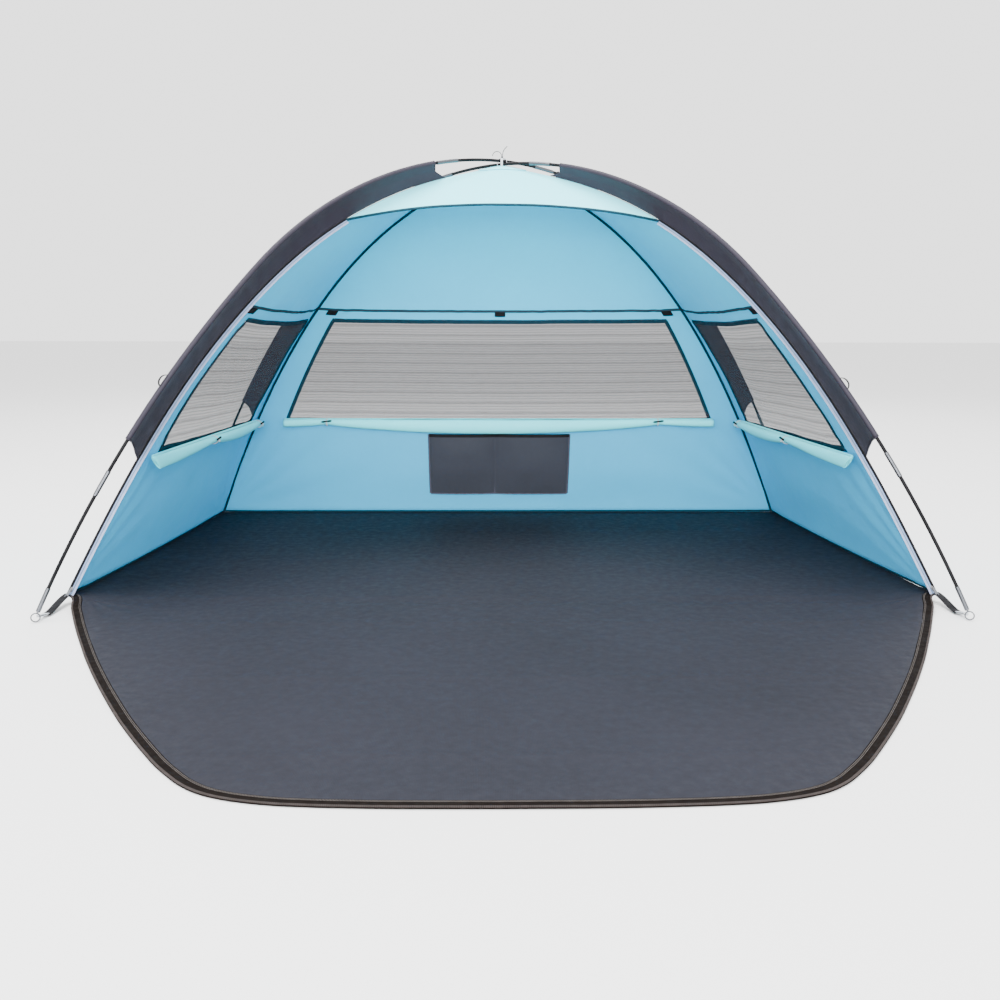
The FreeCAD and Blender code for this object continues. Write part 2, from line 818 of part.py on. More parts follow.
def cord_tube(name, route):
    # Straight runs joined by tangent arcs, each arc as large as its two runs allow.
    points = [Vector(x, y, knot_z + z) for x, y, z in route]
    edges = []
    radii = []
    here = points[0]
    for before, point, after in zip(points, points[1:], points[2:]):
        run_in = point - before
        run_out = after - point
        half_turn = run_in.getAngle(run_out) / 2
        cut = ROUND_SHARE * min(run_in.Length, run_out.Length)
        radius = cut / math.tan(half_turn)
        begin = point - run_in.normalize() * cut
        end = point + run_out.normalize() * cut
        inward_way = (run_out - run_in).normalize()
        centre = point + inward_way * (radius / math.cos(half_turn))
        middle = centre - inward_way * radius
        edges.append(Part.LineSegment(here, begin).toShape())
        edges.append(Part.Arc(begin, middle, end).toShape())
        radii.append(radius)
        here = end
    edges.append(Part.LineSegment(here, points[-1]).toShape())
    path = Part.Wire(edges)
    ring = Part.Wire(Part.makeCircle(cord_r, points[0], points[1] - points[0]))
    tube = path.makePipeShell([ring], True, True)
    expected = math.pi * cord_r ** 2 * path.Length
    print("cord", name, "length %.2f" % path.Length, "radii", [round(r, 1) for r in radii])
    print("cord", name, "volume over section by length %.4f" % (tube.Volume / expected))
    return tube


knot = Part.makeSphere(knot_radius, Vector(0, 0, knot_z))
tails = [cord_tube("short tail", SHORT_TAIL), cord_tube("long tail", LONG_TAIL)]
put_shape("crown_tie_cord", knot.fuse(tails))

# ---------------------------------------------------------------- zips, sliders and pulls
zip_start = find_at(0.0, lambda p: p[1] <= arch_tip - 6.0)
zip_stop = find_at(0.0, lambda p: p[0] >= 0.99)
tape_width = size("zip_tape_width")
coil = size("zip_coil")
SLIDER_AT_Z = 30.0
SLIDE_FROM_Z = 60.0
SLIDE_TO_Z = 120.0
SLIDER_OUTBOARD = 6.0
SLIDER_OFF_RIDGE = 8.0
TAPE_GAP = 0.3
TAPE_FRONT = 0.8
TAPE_THICKNESS = 1.2
EYE_RADIUS = 1.3
PIN_RADIUS = 1.2
ARM_LENGTH = 11.0
HANG_OUT = 0.35


def ridge_point(corner, height):
    k, z = cubic_at(ridge_ratios(0.0), find_at(0.0, lambda p: p[1] <= height))
    return Vector(corner[0] * k, corner[1] * k, z)


for side, sign in (("left", -1), ("right", 1)):
    corner = CORNERS["front_" + side]
    edge = ridge_edge(corner, 0.0, 0.0, zip_start, zip_stop)
    near = edge.copy()
    near.translate(Vector(-sign * TAPE_GAP, -TAPE_FRONT, 0))
    far = edge.copy()
    far.translate(Vector(-sign * (TAPE_GAP + tape_width), -TAPE_FRONT, 0))
    tape = Part.makeRuledSurface(near, far).extrude(Vector(0, -TAPE_THICKNESS, 0))
    put_shape("zip_tape_" + side, tape)

    # Slider body: a block with a holed bridge on it, square to the zip's lowest stretch.
    slide_way = ridge_point(corner, SLIDE_TO_Z) - ridge_point(corner, SLIDE_FROM_Z)
    slide_way.normalize()
    front_way = Vector(0, -1, 0)
    out_way = (front_way - slide_way * front_way.dot(slide_way)).normalize()
    side_way = out_way.cross(slide_way)
    seat = ridge_point(corner, SLIDER_AT_Z) + Vector(sign * SLIDER_OUTBOARD, 0, 0)
    seat = seat + out_way * SLIDER_OFF_RIDGE
    print("slider", side, "way", [round(v, 4) for v in slide_way])

    block = doc.addObject("Part::Box", "slider_block_" + side)
    block.setExpression("Length", "sizes.slider_width")
    block.setExpression("Width", "sizes.slider_height / 2")
    block.setExpression("Height", "sizes.slider_length")
    turn = Placement(basis_matrix(side_way, out_way, slide_way, Vector(0, 0, 0))).Rotation
    half_w = size("slider_width") / 2
    block.Placement = Placement(seat - side_way * half_w - out_way * 4.0, turn)
    bridge = doc.addObject("Part::Box", "slider_bridge_" + side)
    bridge.setExpression("Length", "sizes.slider_width / 4")
    bridge.setExpression("Width", "sizes.slider_height / 2 + 0.5")
    bridge.setExpression("Height", "sizes.slider_length * 0.6")
    bridge_lift = slide_way * size("slider_length") * 0.2
    bridge.Placement = Placement(seat - side_way * half_w / 4 - out_way * 0.6 + bridge_lift, turn)
    eye = doc.addObject("Part::Cylinder", "slider_eye_" + side)
    eye.Radius = EYE_RADIUS
    eye.Height = size("slider_width")
    eye_centre = seat + out_way * 1.3 + slide_way * size("slider_length") * 0.5
    across_turn = Rotation(Vector(0, 0, 1), side_way)
    eye.Placement = Placement(eye_centre - side_way * half_w, across_turn)
    holed = doc.addObject("Part::Cut", "slider_holed_bridge_" + side)
    holed.Base = bridge
    holed.Tool = eye
    slider = doc.addObject("Part::MultiFuse", "zip_slider_" + side)
    slider.Shapes = [block, holed]
    name_node("zip_slider_" + side, slider)

    # Pull tab: a flat tongue that hangs from a pin through the slider's bridge.
    half_pull = size("pull_width") / 2
    pin_start = eye_centre - side_way * half_pull
    pull_pin = Part.makeCylinder(PIN_RADIUS, size("pull_width"), pin_start, side_way)
    half_thick = size("pull_thickness") / 2
    length = size("pull_length")
    arm_gap = half_w / 4 + 0.7
    hang = (out_way * HANG_OUT - slide_way).normalize()
    flat = side_way.cross(hang)

    def tab_plate(low_side, high_side, low_hang, high_hang):
        middle = eye_centre - flat * half_thick
        quad = [
            middle + side_way * low_side + hang * low_hang,
            middle + side_way * high_side + hang * low_hang,
            middle + side_way * high_side + hang * high_hang,
            middle + side_way * low_side + hang * high_hang,
        ]
        return quad_prism(quad, flat * 2 * half_thick)

    tongue = tab_plate(-half_pull, half_pull, ARM_LENGTH - 1.0, length)
    arms = [tab_plate(w * arm_gap, w * half_pull, -1.0, ARM_LENGTH) for w in (-1, 1)]
    tongue = tongue.fuse(arms + [pull_pin]).removeSplitter()
    put_shape("zip_pull_" + side, tongue, eye_centre)
    print("pull", side, "eye", [round(v, 2) for v in eye_centre], [round(v, 4) for v in side_way])

# ---------------------------------------------------------------- rolled window covers
roll_r = size("roll_diameter") / 2
LOOP_GAP = 0.4
LOOP_WALL = 2.0
BACK_TOGGLE_SHARES = (0.10, 0.87)
SIDE_TOGGLE_SHARES = (0.464, 0.962)


def wall_point(side, lateral, height, inward_by):
    k = ratio_at_height(height)
    if side == "back":
        return Vector(lateral, (rear_y * k) - inward_by, height)
    sign = -1 if side == "left" else 1
    share = (lateral / k - front_y) / (rear_y - front_y)
    x = k * (front_x + (rear_x - front_x) * share)
    return Vector(sign * (x - inward_by), lateral, height)


def ring_with_bar(middle, way, inside):
    # An elastic loop round the roll, with a toggle bar that lies along it.
    loop_width = size("toggle_loop_width")
    outer_r = roll_r + LOOP_GAP + LOOP_WALL
    loop = Part.makeCylinder(outer_r, loop_width, middle - way * loop_width / 2, way)
    hole = Part.makeCylinder(roll_r + LOOP_GAP, 2 * loop_width, middle - way * loop_width, way)
    bar_r = size("toggle_diameter") / 2
    bar_length = size("toggle_length")
    bar_middle = middle + inside * (outer_r + bar_r - 0.2)
    bar = Part.makeCylinder(bar_r, bar_length, bar_middle - way * bar_length / 2, way)
    return loop.cut(hole).fuse(bar)


INSIDE = {"back": Vector(0, -1, 0), "left": Vector(1, 0, 0), "right": Vector(-1, 0, 0)}
for side, inside in INSIDE.items():
    if side == "back":
        first, last = -size("back_roll_reach"), size("back_roll_reach")
        shares = BACK_TOGGLE_SHARES
    else:
        first, last = -size("side_roll_front"), size("side_roll_rear")
        shares = SIDE_TOGGLE_SHARES
    off_wall = roll_r + size("roll_wall_gap")
    p = wall_point(side, first, size("roll_height"), off_wall)
    q = wall_point(side, last, size("roll_height"), off_wall)
    length = (q - p).Length
    way = (q - p).normalize()
    put_shape(side + "_window_roll", Part.makeCylinder(roll_r, length, p, way), p)
    print("roll", side, [round(v, 2) for v in p], [round(v, 2) for v in q])
    ties = [ring_with_bar(p + way * length * share, way, inside) for share in shares]
    put_shape(side + "_roll_toggles", Part.makeCompound(ties))

# ---------------------------------------------------------------- hook-and-loop tabs
tabs = []
tab_half = size("tab_width") / 2
tab_h = size("tab_height")
tab_t = size("tab_thickness")
TAB_TOP_GAP = 1.0
TAB_OFF_WALL = 3.0
TAB_STAND_OFF = 0.6
for side, lateral in (
    ("back", -size("back_tab_reach")),
    ("back", 0.0),
    ("back", size("back_tab_reach")),
    ("left", -size("side_tab_front")),
    ("right", -size("side_tab_front")),
):
    high = wall_point(side, lateral, seam_z - TAB_TOP_GAP, TAB_OFF_WALL)
    low = wall_point(side, lateral, seam_z - TAB_TOP_GAP - tab_h, TAB_OFF_WALL)
    if side == "back":
        across = Vector(1, 0, 0)
    else:
        narrowing = (rear_x - front_x) / (rear_y - front_y)
        sign = -1 if side == "left" else 1
        across = Vector(sign * narrowing, 1, 0).normalize()
    fall = (low - high).normalize()
    inside = across.cross(fall)
    if inside.dot(Vector(-high.x, -high.y, 0)) < 0:
        inside = inside * -1
    top = high + inside * TAB_STAND_OFF
    bottom = top + fall * tab_h
    quad = [
        top - across * tab_half,
        top + across * tab_half,
        bottom + across * tab_half,
        bottom - across * tab_half,
    ]
    tabs.append(quad_prism(quad, inside * tab_t))
put_shape("hook_and_loop_tabs", Part.makeCompound(tabs))

# ---------------------------------------------------------------- pocket on the back wall
pocket_half = size("pocket_width") / 2
foot_h = size("pocket_foot")
head_h = size("pocket_head")
bulge = size("pocket_bulge")


def back_inner_y(height):
    return rear_y * ratio_at_height(height) - 2.2


POCKET_STEPS = 6
POCKET_STAND_OFF = 3.0
heights = [foot_h + (head_h - foot_h) * i / POCKET_STEPS for i in range(POCKET_STEPS + 1)]
wall_line = [Vector(0, back_inner_y(h), h) for h in heights]
front_line = []
for i, h in enumerate(heights):
    swell = bulge * math.sin(math.pi * (0.15 + 0.62 * i / POCKET_STEPS))
    front_line.append(Vector(0, back_inner_y(h) - POCKET_STAND_OFF - swell, h))


def strip_solid(line_a, line_b, x0, x1):
    edge_a = Part.BSplineCurve()
    edge_a.interpolate(line_a)
    edge_b = Part.BSplineCurve()
    edge_b.interpolate(line_b)
    wire = Part.Wire([
        edge_a.toShape(),
        Part.makeLine(line_a[-1], line_b[-1]),
        edge_b.toShape(),
        Part.makeLine(line_b[0], line_a[0]),
    ])
    face = Part.Face(wire)
    face.translate(Vector(x0, 0, 0))
    return face.extrude(Vector(x1 - x0, 0, 0))


thin = 1.2
DIVIDER_X = -14.0
MOUTH_OVERRUN = Vector(0, 0, 5)
outer_block = strip_solid(wall_line, front_line, -pocket_half, pocket_half)
inner_front = [Vector(0, v.y + thin, v.z) for v in front_line]
inner_wall = [Vector(0, v.y - thin, v.z) for v in wall_line]
inner_front[0] = Vector(0, inner_front[0].y, foot_h + thin)
inner_wall[0] = Vector(0, inner_wall[0].y, foot_h + thin)
inner_front[-1] = inner_front[-1] + MOUTH_OVERRUN
inner_wall[-1] = inner_wall[-1] + MOUTH_OVERRUN
cavity_a = strip_solid(inner_wall, inner_front, -pocket_half + thin, DIVIDER_X - thin / 2)
cavity_b = strip_solid(inner_wall, inner_front, DIVIDER_X + thin / 2, pocket_half - thin)
put_shape("back_pocket", outer_block.cut([cavity_a, cavity_b]))

# ---------------------------------------------------------------- checks and export
doc.recompute()
bad = 0
for obj in doc.Objects:
    if "Invalid" in obj.State or "Error" in obj.State:
        print("STATE", obj.Name, obj.State)
        bad += 1
total = 0.0
for name, piece in nodes.items():
    shape = piece.Shape
    if shape.isNull() or not shape.isValid() or not shape.Solids:
        print("SHAPE", name, "null" if shape.isNull() else "invalid", len(shape.Solids))
        bad += 1
        continue
    low = shape.BoundBox
    total += shape.Volume
    print(
        "%-34s solids %2d faces %3d vol %10.1f  x %8.1f %8.1f y %8.1f %8.1f z %7.1f %7.1f"
        % (
            name, len(shape.Solids), len(shape.Faces), shape.Volume,
            low.XMin, low.XMax, low.YMin, low.YMax, low.ZMin, low.ZMax,
        )
    )
if bad:
    raise SystemExit("%d pieces are not sound" % bad)
for name, piece in nodes.items():
    shape = piece.Shape.copy()
    shape.exportStep("parts/%s.step" % name)
print("pieces", len(nodes), "volume", round(total, 1))
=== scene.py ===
import bmesh
import bpy
import json
import math
import numpy as np
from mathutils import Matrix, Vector, noise


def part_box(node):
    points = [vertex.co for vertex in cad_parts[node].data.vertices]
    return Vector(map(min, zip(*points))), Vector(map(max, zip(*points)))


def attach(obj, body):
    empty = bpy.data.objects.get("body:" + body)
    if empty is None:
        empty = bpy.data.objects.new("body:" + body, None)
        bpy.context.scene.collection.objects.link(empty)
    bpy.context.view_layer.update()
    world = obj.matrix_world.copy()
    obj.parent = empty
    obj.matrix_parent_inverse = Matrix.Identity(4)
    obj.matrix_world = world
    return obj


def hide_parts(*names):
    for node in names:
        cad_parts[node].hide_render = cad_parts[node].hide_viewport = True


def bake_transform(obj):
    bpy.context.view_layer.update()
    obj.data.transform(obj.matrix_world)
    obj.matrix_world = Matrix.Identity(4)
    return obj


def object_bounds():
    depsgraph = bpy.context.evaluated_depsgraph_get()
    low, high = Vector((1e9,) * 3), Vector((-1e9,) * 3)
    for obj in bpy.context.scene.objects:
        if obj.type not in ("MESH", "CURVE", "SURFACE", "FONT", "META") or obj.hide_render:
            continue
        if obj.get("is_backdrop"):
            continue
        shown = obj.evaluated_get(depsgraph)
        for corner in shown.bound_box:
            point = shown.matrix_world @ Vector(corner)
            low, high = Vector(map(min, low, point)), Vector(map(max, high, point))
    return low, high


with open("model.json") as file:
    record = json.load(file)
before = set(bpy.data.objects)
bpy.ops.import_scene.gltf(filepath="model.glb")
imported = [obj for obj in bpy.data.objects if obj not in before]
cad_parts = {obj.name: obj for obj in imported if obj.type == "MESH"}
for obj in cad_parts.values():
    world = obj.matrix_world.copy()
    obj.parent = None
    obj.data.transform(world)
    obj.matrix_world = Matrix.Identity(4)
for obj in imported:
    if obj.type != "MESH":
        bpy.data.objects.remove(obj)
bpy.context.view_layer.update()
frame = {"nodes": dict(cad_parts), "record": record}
UP = np.array([0, 0, 1.0])
AHEAD = np.array([0, -1.0, 0])


def add_object(name, data):
    o = bpy.data.objects.new(name, data)
    bpy.context.scene.collection.objects.link(o)
    return o


# ------------------------------------------------------------------ camera
camera = add_object("camera", bpy.data.cameras.new("camera"))
camera.data.sensor_width = 36.0
camera.data.lens = 35.47
camera.data.clip_end = 60.0
camera.location = (-0.045, -2.958, 0.705)
camera.rotation_euler = (math.radians(90 - 10.34), -0.002, -0.0135)
bpy.context.scene.camera = camera

# ------------------------------------------------------------------ materials
WAVE_LENGTH = 0.314     # metres from band to band of a wave texture whose scale is 1


class Surface:
    """One material's node tree, with short ways to add and join the nodes used here."""

    def __init__(self, name):
        self.material = bpy.data.materials.new(name)
        self.material.use_nodes = True
        self.tree = self.material.node_tree
        self.inputs = self.tree.nodes["Principled BSDF"].inputs
        place = self.node("ShaderNodeTexCoord")
        self.uv, self.place = place.outputs["UV"], place.outputs["Object"]

    def node(self, kind, **values):
        n = self.tree.nodes.new(kind)
        for key, value in values.items():
            if key in n.inputs:
                n.inputs[key].default_value = value
            else:
                setattr(n, key, value)
        return n

    def feed(self, socket, value):
        """Sets a number or a colour, or links an output."""
        if isinstance(value, (int, float)):
            socket.default_value = value
        elif isinstance(value, tuple):
            socket.default_value = (*value, 1.0)
        else:
            self.tree.links.new(value, socket)

    def grain(self, scale, detail=3.0, rough=0.5):
        n = self.node("ShaderNodeTexNoise", Scale=scale, Detail=detail, Roughness=rough)
        self.feed(n.inputs["Vector"], self.place)
        return n.outputs["Fac"]

    def bands(self, axis, pitch):
        scale = WAVE_LENGTH / pitch
        n = self.node("ShaderNodeTexWave", wave_type="BANDS", bands_direction=axis, Scale=scale)
        self.feed(n.inputs["Vector"], self.uv)
        return n.outputs["Fac"]

    def remap(self, value, low, high, to_low=0.0, to_high=1.0):
        limits = {"From Min": low, "From Max": high, "To Min": to_low, "To Max": to_high}
        n = self.node("ShaderNodeMapRange", **limits)
        self.feed(n.inputs["Value"], value)
        return n.outputs["Result"]

    def maths(self, operation, a, b):
        n = self.node("ShaderNodeMath", operation=operation)
        self.feed(n.inputs[0], a)
        self.feed(n.inputs[1], b)
        return n.outputs[0]

    def total(self, value, *others):
        for other in others:
            value = self.maths("ADD", value, other)
        return value

    def mix(self, share, a, b):
        n = self.node("ShaderNodeMix", data_type="RGBA")
        self.feed(n.inputs[0], share)
        for socket, value in zip([s for s in n.inputs if s.type == "RGBA"], (a, b)):
            self.feed(socket, value)
        return [s for s in n.outputs if s.type == "RGBA"][0]

    def finish(self, colour, roughness, bumps=(), specular=0.5):
        """Feeds the shader and stacks the bump layers of (height, strength, distance)."""
        self.feed(self.inputs["Base Color"], colour)
        self.feed(self.inputs["Roughness"], roughness)
        self.feed(self.inputs["Specular IOR Level"], specular)
        normal = None
        for height, strength, distance in bumps:
            b = self.node("ShaderNodeBump", Strength=strength, Distance=distance)
            self.feed(b.inputs["Height"], height)
            if normal:
                self.feed(b.inputs["Normal"], normal)
            normal = b.outputs["Normal"]
        if normal:
            self.feed(self.inputs["Normal"], normal)
        return self.material


def cloth(name, base, shade, rough=0.62, blotch=0.25, crease=0.0006, translucent=0.0, painted_light_above=None):
    """Woven cloth: crossed threads, uneven dye, faint creases, and painted light that makes its upper panels
    lighter.
    """
    s = Surface(name)
    threads = s.maths("MAXIMUM", s.bands("X", 0.0012), s.bands("Y", 0.0012))
    tone = s.total(
        s.remap(s.grain(3.0, 4.0), 0.3, 0.7, 0.0, blotch),
        s.remap(s.grain(60.0), 0.3, 0.7, 0.0, blotch * 0.4),
        s.remap(threads, 0.0, 1.0, 0.10, 0.0),
    )
    colour = s.mix(tone, base, shade)
    # painted light: the colour turns lighter towards the top of the tent, as if light came through the cloth
    # from above
    if painted_light_above:
        split = s.node("ShaderNodeSeparateXYZ")
        s.feed(split.inputs[0], s.place)
        height = s.remap(split.outputs["Z"], 0.50, 0.95)
        colour = s.mix(height, colour, s.mix(tone, painted_light_above, base))
    s.inputs["Sheen Weight"].default_value = 0.05
    s.inputs["Sheen Roughness"].default_value = 0.45
    wear = s.remap(s.grain(22.0, 4.0), 0.3, 0.7, rough - 0.07, rough + 0.08)
    bumps = [(s.grain(16.0, 5.0, 0.6), 0.35, crease * 4), (threads, 0.5, 0.00012)]
    s.finish(colour, wear, bumps, 0.18)
    if translucent:
        through = s.node("ShaderNodeBsdfTranslucent")
        s.feed(through.inputs["Color"], colour)
        both = s.node("ShaderNodeMixShader")
        s.feed(both.inputs[0], translucent)
        s.feed(both.inputs[1], s.tree.nodes["Principled BSDF"].outputs[0])
        s.feed(both.inputs[2], through.outputs[0])
        s.feed(s.tree.nodes["Material Output"].inputs["Surface"], both.outputs[0])
    return s.material


def netting(name, colour, alpha):
    """Window net: fine and coarse cross lines over a small cell, partly see-through."""
    s = Surface(name)
    fine = s.remap(s.bands("Y", 0.0092), 0.55, 0.95)
    coarse = s.remap(s.bands("Y", 0.036), 0.88, 0.98)
    line = s.maths("MAXIMUM", fine, s.maths("MULTIPLY", coarse, 1.3))
    cell = s.maths("MAXIMUM", s.bands("X", 0.0016), s.bands("Y", 0.0016))
    tone = s.total(s.maths("MULTIPLY", line, 0.55), s.remap(s.grain(5.0), 0.3, 0.7, 0.0, 0.2))
    cover = s.total(alpha - 0.05, s.maths("MULTIPLY", line, 0.07), s.remap(cell, 0.0, 1.0, -0.04, 0.10))
    s.feed(s.inputs["Alpha"], cover)
    dark = tuple(c * 0.62 for c in colour)
    return s.finish(s.mix(tone, colour, dark), 0.7, [(cell, 0.5, 0.0002)], 0.03)


def plastic_sheet(name, base, shade):
    """Coated woven ground sheet: flat tapes, packing creases, dull coating with scuffs."""
    s = Surface(name)
    tapes = s.maths("MULTIPLY", s.bands("X", 0.0026), s.bands("Y", 0.0026))
    scuff = s.grain(45.0, 5.0, 0.65)
    tone = s.total(
        s.remap(s.grain(2.2, 5.0), 0.3, 0.7, 0.0, 0.45),
        s.remap(scuff, 0.35, 0.7, 0.0, 0.35),
        s.remap(tapes, 0.0, 1.0, 0.12, 0.0),
    )
    bumps = [(s.grain(9.0, 6.0, 0.55), 0.4, 0.004), (tapes, 0.5, 0.0002)]
    return s.finish(s.mix(tone, base, shade), s.remap(scuff, 0.3, 0.7, 0.56, 0.76), bumps, 0.07)


def webbing(name, base, shade, rib=0.0022):
    """Ribbed tape, cord or moulded plastic with a small regular pattern."""
    s = Surface(name)
    pattern = s.maths("MULTIPLY", s.bands("Y", rib), s.bands("X", rib * 0.8))
    patches = s.grain(70.0)
    tone = s.total(s.remap(pattern, 0, 1, 0.0, 0.6), s.remap(patches, 0.3, 0.7, 0.0, 0.4))
    wear = s.remap(patches, 0.3, 0.7, 0.6, 0.8)
    return s.finish(s.mix(tone, base, shade), wear, [(pattern, 0.7, 0.0004)], 0.03)


def striped_tape(name, base, shade, pitch):
    """Woven zip tape: fine stripes along its length over a small rib."""
    s = Surface(name)
    stripes = s.remap(s.bands("X", pitch), 0.35, 0.85)
    patches = s.grain(60.0)
    tone = s.total(s.maths("MULTIPLY", stripes, 0.8), s.remap(patches, 0.3, 0.7, 0.0, 0.2))
    wear = s.remap(patches, 0.3, 0.7, 0.6, 0.8)
    return s.finish(s.mix(tone, base, shade), wear, [(s.bands("Y", 0.0012), 0.5, 0.0002)], 0.1)


def metal(name, base, rough):
    """Dull plated metal with grime and fine scratches."""
    s = Surface(name)
    grime = s.grain(120.0, 4.0)
    colour = s.mix(s.remap(grime, 0.45, 0.75, 0.0, 0.35), base, tuple(c * 0.55 for c in base))
    s.inputs["Metallic"].default_value = 1.0
    wear = s.remap(grime, 0.3, 0.7, rough - 0.06, rough + 0.14)
    return s.finish(colour, wear, [(s.grain(900.0, 2.0), 0.15, 0.00008)])


def glass_fibre(name, base, shade):
    """Black coated glass fibre rod: long faint streaks under a semi-gloss coat."""
    s = Surface(name)
    fine = s.grain(420.0)
    tone = s.total(s.remap(s.grain(26.0, 4.0), 0.35, 0.7, 0.0, 0.6), s.remap(fine, 0.4, 0.7, 0.0, 0.3))
    wear = s.remap(fine, 0.3, 0.7, 0.34, 0.52)
    return s.finish(s.mix(tone, base, shade), wear, [(fine, 0.2, 0.0001)], 0.06)


# the last colour of BLUE_IN is painted light: a lighter blue for the upper panels, where light shines through
# from above
BLUE_IN = cloth("sky_fabric_inside", (0.078, 0.575, 0.860), (0.058, 0.470, 0.740), crease=0.0011,
                translucent=0.27, painted_light_above=(0.045, 0.740, 0.980))
BLUE_OUT = cloth("sky_fabric_outside", (0.220, 0.780, 0.930), (0.180, 0.700, 0.860), rough=0.5,
                 translucent=0.27)
PALE = cloth("pale_fabric", (0.230, 0.870, 0.980), (0.190, 0.810, 0.940), rough=0.5, blotch=0.15,
             translucent=0.15)
ROLL = cloth("roll_fabric", (0.150, 0.900, 0.980), (0.110, 0.780, 0.900), rough=0.5)
GREY = cloth("grey_fabric", (0.025, 0.022, 0.033), (0.014, 0.012, 0.019), rough=0.55, crease=0.0012)
POCKET = cloth("pocket_fabric", (0.045, 0.050, 0.065), (0.028, 0.030, 0.040), rough=0.5)
NET = netting("window_netting", (0.050, 0.053, 0.064), 0.51)
GROUND = plastic_sheet("ground_sheet", (0.0185, 0.0190, 0.0255), (0.0130, 0.0135, 0.0180))
POCKET_EDGE = webbing("pocket_edging", (0.090, 0.092, 0.125), (0.045, 0.046, 0.065), 0.0030)
BINDING = webbing("dark_binding", (0.007, 0.005, 0.004), (0.003, 0.002, 0.002))
TEAL = webbing("teal_binding", (0.012, 0.042, 0.062), (0.006, 0.022, 0.034))
SEAM = webbing("seam_tape", (0.030, 0.062, 0.084), (0.016, 0.036, 0.050))
TEETH = webbing("zip_teeth", (0.46, 0.50, 0.68), (0.30, 0.33, 0.50), 0.0016)
DARK_TEETH = webbing("dark_zip_teeth", (0.050, 0.042, 0.040), (0.026, 0.022, 0.020))
DARK_THREAD = webbing("dark_thread", (0.10, 0.09, 0.085), (0.05, 0.045, 0.04), 0.0008)
BLACK = webbing("black_webbing", (0.016, 0.016, 0.018), (0.006, 0.006, 0.007))
WHITE = webbing("white_tape", (0.56, 0.58, 0.61), (0.40, 0.42, 0.45))
ELASTIC = webbing("elastic_cord", (0.75, 0.76, 0.78), (0.55, 0.56, 0.58), 0.0008)
TOGGLE = webbing("toggle_black", (0.012, 0.012, 0.013), (0.020, 0.020, 0.022), 0.004)
CORD = webbing("tie_cord", (0.030, 0.045, 0.055), (0.014, 0.020, 0.026), 0.0010)
TAPE = striped_tape("zip_tape", (0.255, 0.335, 0.500), (0.060, 0.095, 0.170), 0.0046)
STEEL = metal("bright_metal", (0.115, 0.121, 0.134), 0.34)
ZINC = metal("zinc_slider", (0.130, 0.130, 0.136), 0.38)
POLE = glass_fibre("pole_black", (0.005, 0.005, 0.006), (0.014, 0.014, 0.015))

# ------------------------------------------------------------------ the two free tails of the crown tie
band_lo, band_hi = (np.array(v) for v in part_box("crown_tie_band"))
KNOT_Z = band_hi[2] + 0.0032
SHORT_TAIL = [
    (-0.0014, 0, 0.001), (-0.0016, 0, 0.009), (-0.0085, -0.001, 0.0155),
    (-0.0185, -0.001, 0.0165), (-0.0265, 0, 0.0105), (-0.0275, 0.0005, 0.004),
]
LONG_TAIL = [
    (0.0014, 0, 0.001), (0.0014, 0, 0.009), (0.0034, 0, 0.0175), (0.0082, 0, 0.025), (0.0148, 0, 0.0307),
]


def cord_tail(name, route):
    curve = bpy.data.curves.new(name, "CURVE")
    curve.dimensions = "3D"
    spline = curve.splines.new("NURBS")
    spline.points.add(len(route) - 1)
    for point, (x, y, z) in zip(spline.points, route):
        point.co = (x, y, KNOT_Z + z, 1.0)
    spline.order_u = 3
    spline.use_endpoint_u = True
    curve.bevel_depth = 0.001
    curve.bevel_resolution = 3
    curve.use_fill_caps = True
    o = add_object(name, curve)
    curve.materials.append(CORD)
    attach(o, "tent")
    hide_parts("crown_tie_cord")
    x, y, z = route[0]


cord_tail("tie_tail_short", SHORT_TAIL)
cord_tail("tie_tail_long", LONG_TAIL)


# ------------------------------------------------------------------ small tools
def unit(v):
    v = np.asarray(v, float)
    return v / (np.linalg.norm(v, axis=-1, keepdims=True) + 1e-12)


def tangents(points):
    return unit(np.gradient(points, axis=0))


def spaced(a, b, step):
    return np.linspace(a, b, max(2, int(round(abs(b - a) / step)) + 1))


def smooth(a, b, x):
    """Rises from 0 at a to 1 at b without a corner."""
    s = np.clip((np.asarray(x, float) - a) / (b - a), 0, 1)
    return s * s * (3 - 2 * s)


def bell(x, width):
    return np.exp(-(x / width) ** 2)


def noise_at(points):
    return np.array([noise.noise(Vector(p)) for p in points])


def noise_line(values, scale, seed):
    return noise_at([(q * scale, seed, 0) for q in values])


def noise_field(P, scale, seed=0.0):
    return noise_at(P.reshape(-1, 3) * scale + seed).reshape(P.shape[:-1])


def path_length(points):
    """Length along the points, from zero at the first."""
    return np.concatenate([[0], np.cumsum(np.linalg.norm(np.diff(points, axis=0), axis=1))])


# ------------------------------------------------------------------ canopy surface
CROWN = 1.132
REAR_RIDGE = np.array([(0.0, CROWN), (0.4268, 1.069), (0.7472, 0.6292), (1.0, 0.0018)])
FRONT_RIDGE = np.array([(0.0, CROWN), (0.5166, 1.0511), (0.7484, 0.5800), (1.0, 0.0018)])
CORNER_LIFT = 0.0195
FRONT_Y, REAR_Y, DEPTH = -0.55, 0.65, 1.2
FRONT_HALF, TAPER = 1.1, 0.075
REAR_HALF = 1.025
CORNER = {
    "fl": np.array([-FRONT_HALF, FRONT_Y]),
    "fr": np.array([FRONT_HALF, FRONT_Y]),
    "rr": np.array([REAR_HALF, REAR_Y]),
    "rl": np.array([-REAR_HALF, REAR_Y]),
}
LONG = {"fl": "front_left", "fr": "front_right", "rl": "rear_left", "rr": "rear_right"}
FRONT_KEYS = ("fl", "fr")
GORES = {"left": ("fl", "rl"), "back": ("rl", "rr"), "right": ("rr", "fr"), "front": ("fr", "fl")}
GORE_WIDTH = {n: float(np.linalg.norm(CORNER[b] - CORNER[a])) for n, (a, b) in GORES.items()}
ARC = 1.55          # metres of cloth from the crown to the foot, for the texture
FOLD_ARC = 1.5      # the same length as the folds and puckers are laid out on it
BEHIND_CENTRE = np.array([0, 0, 0.3])


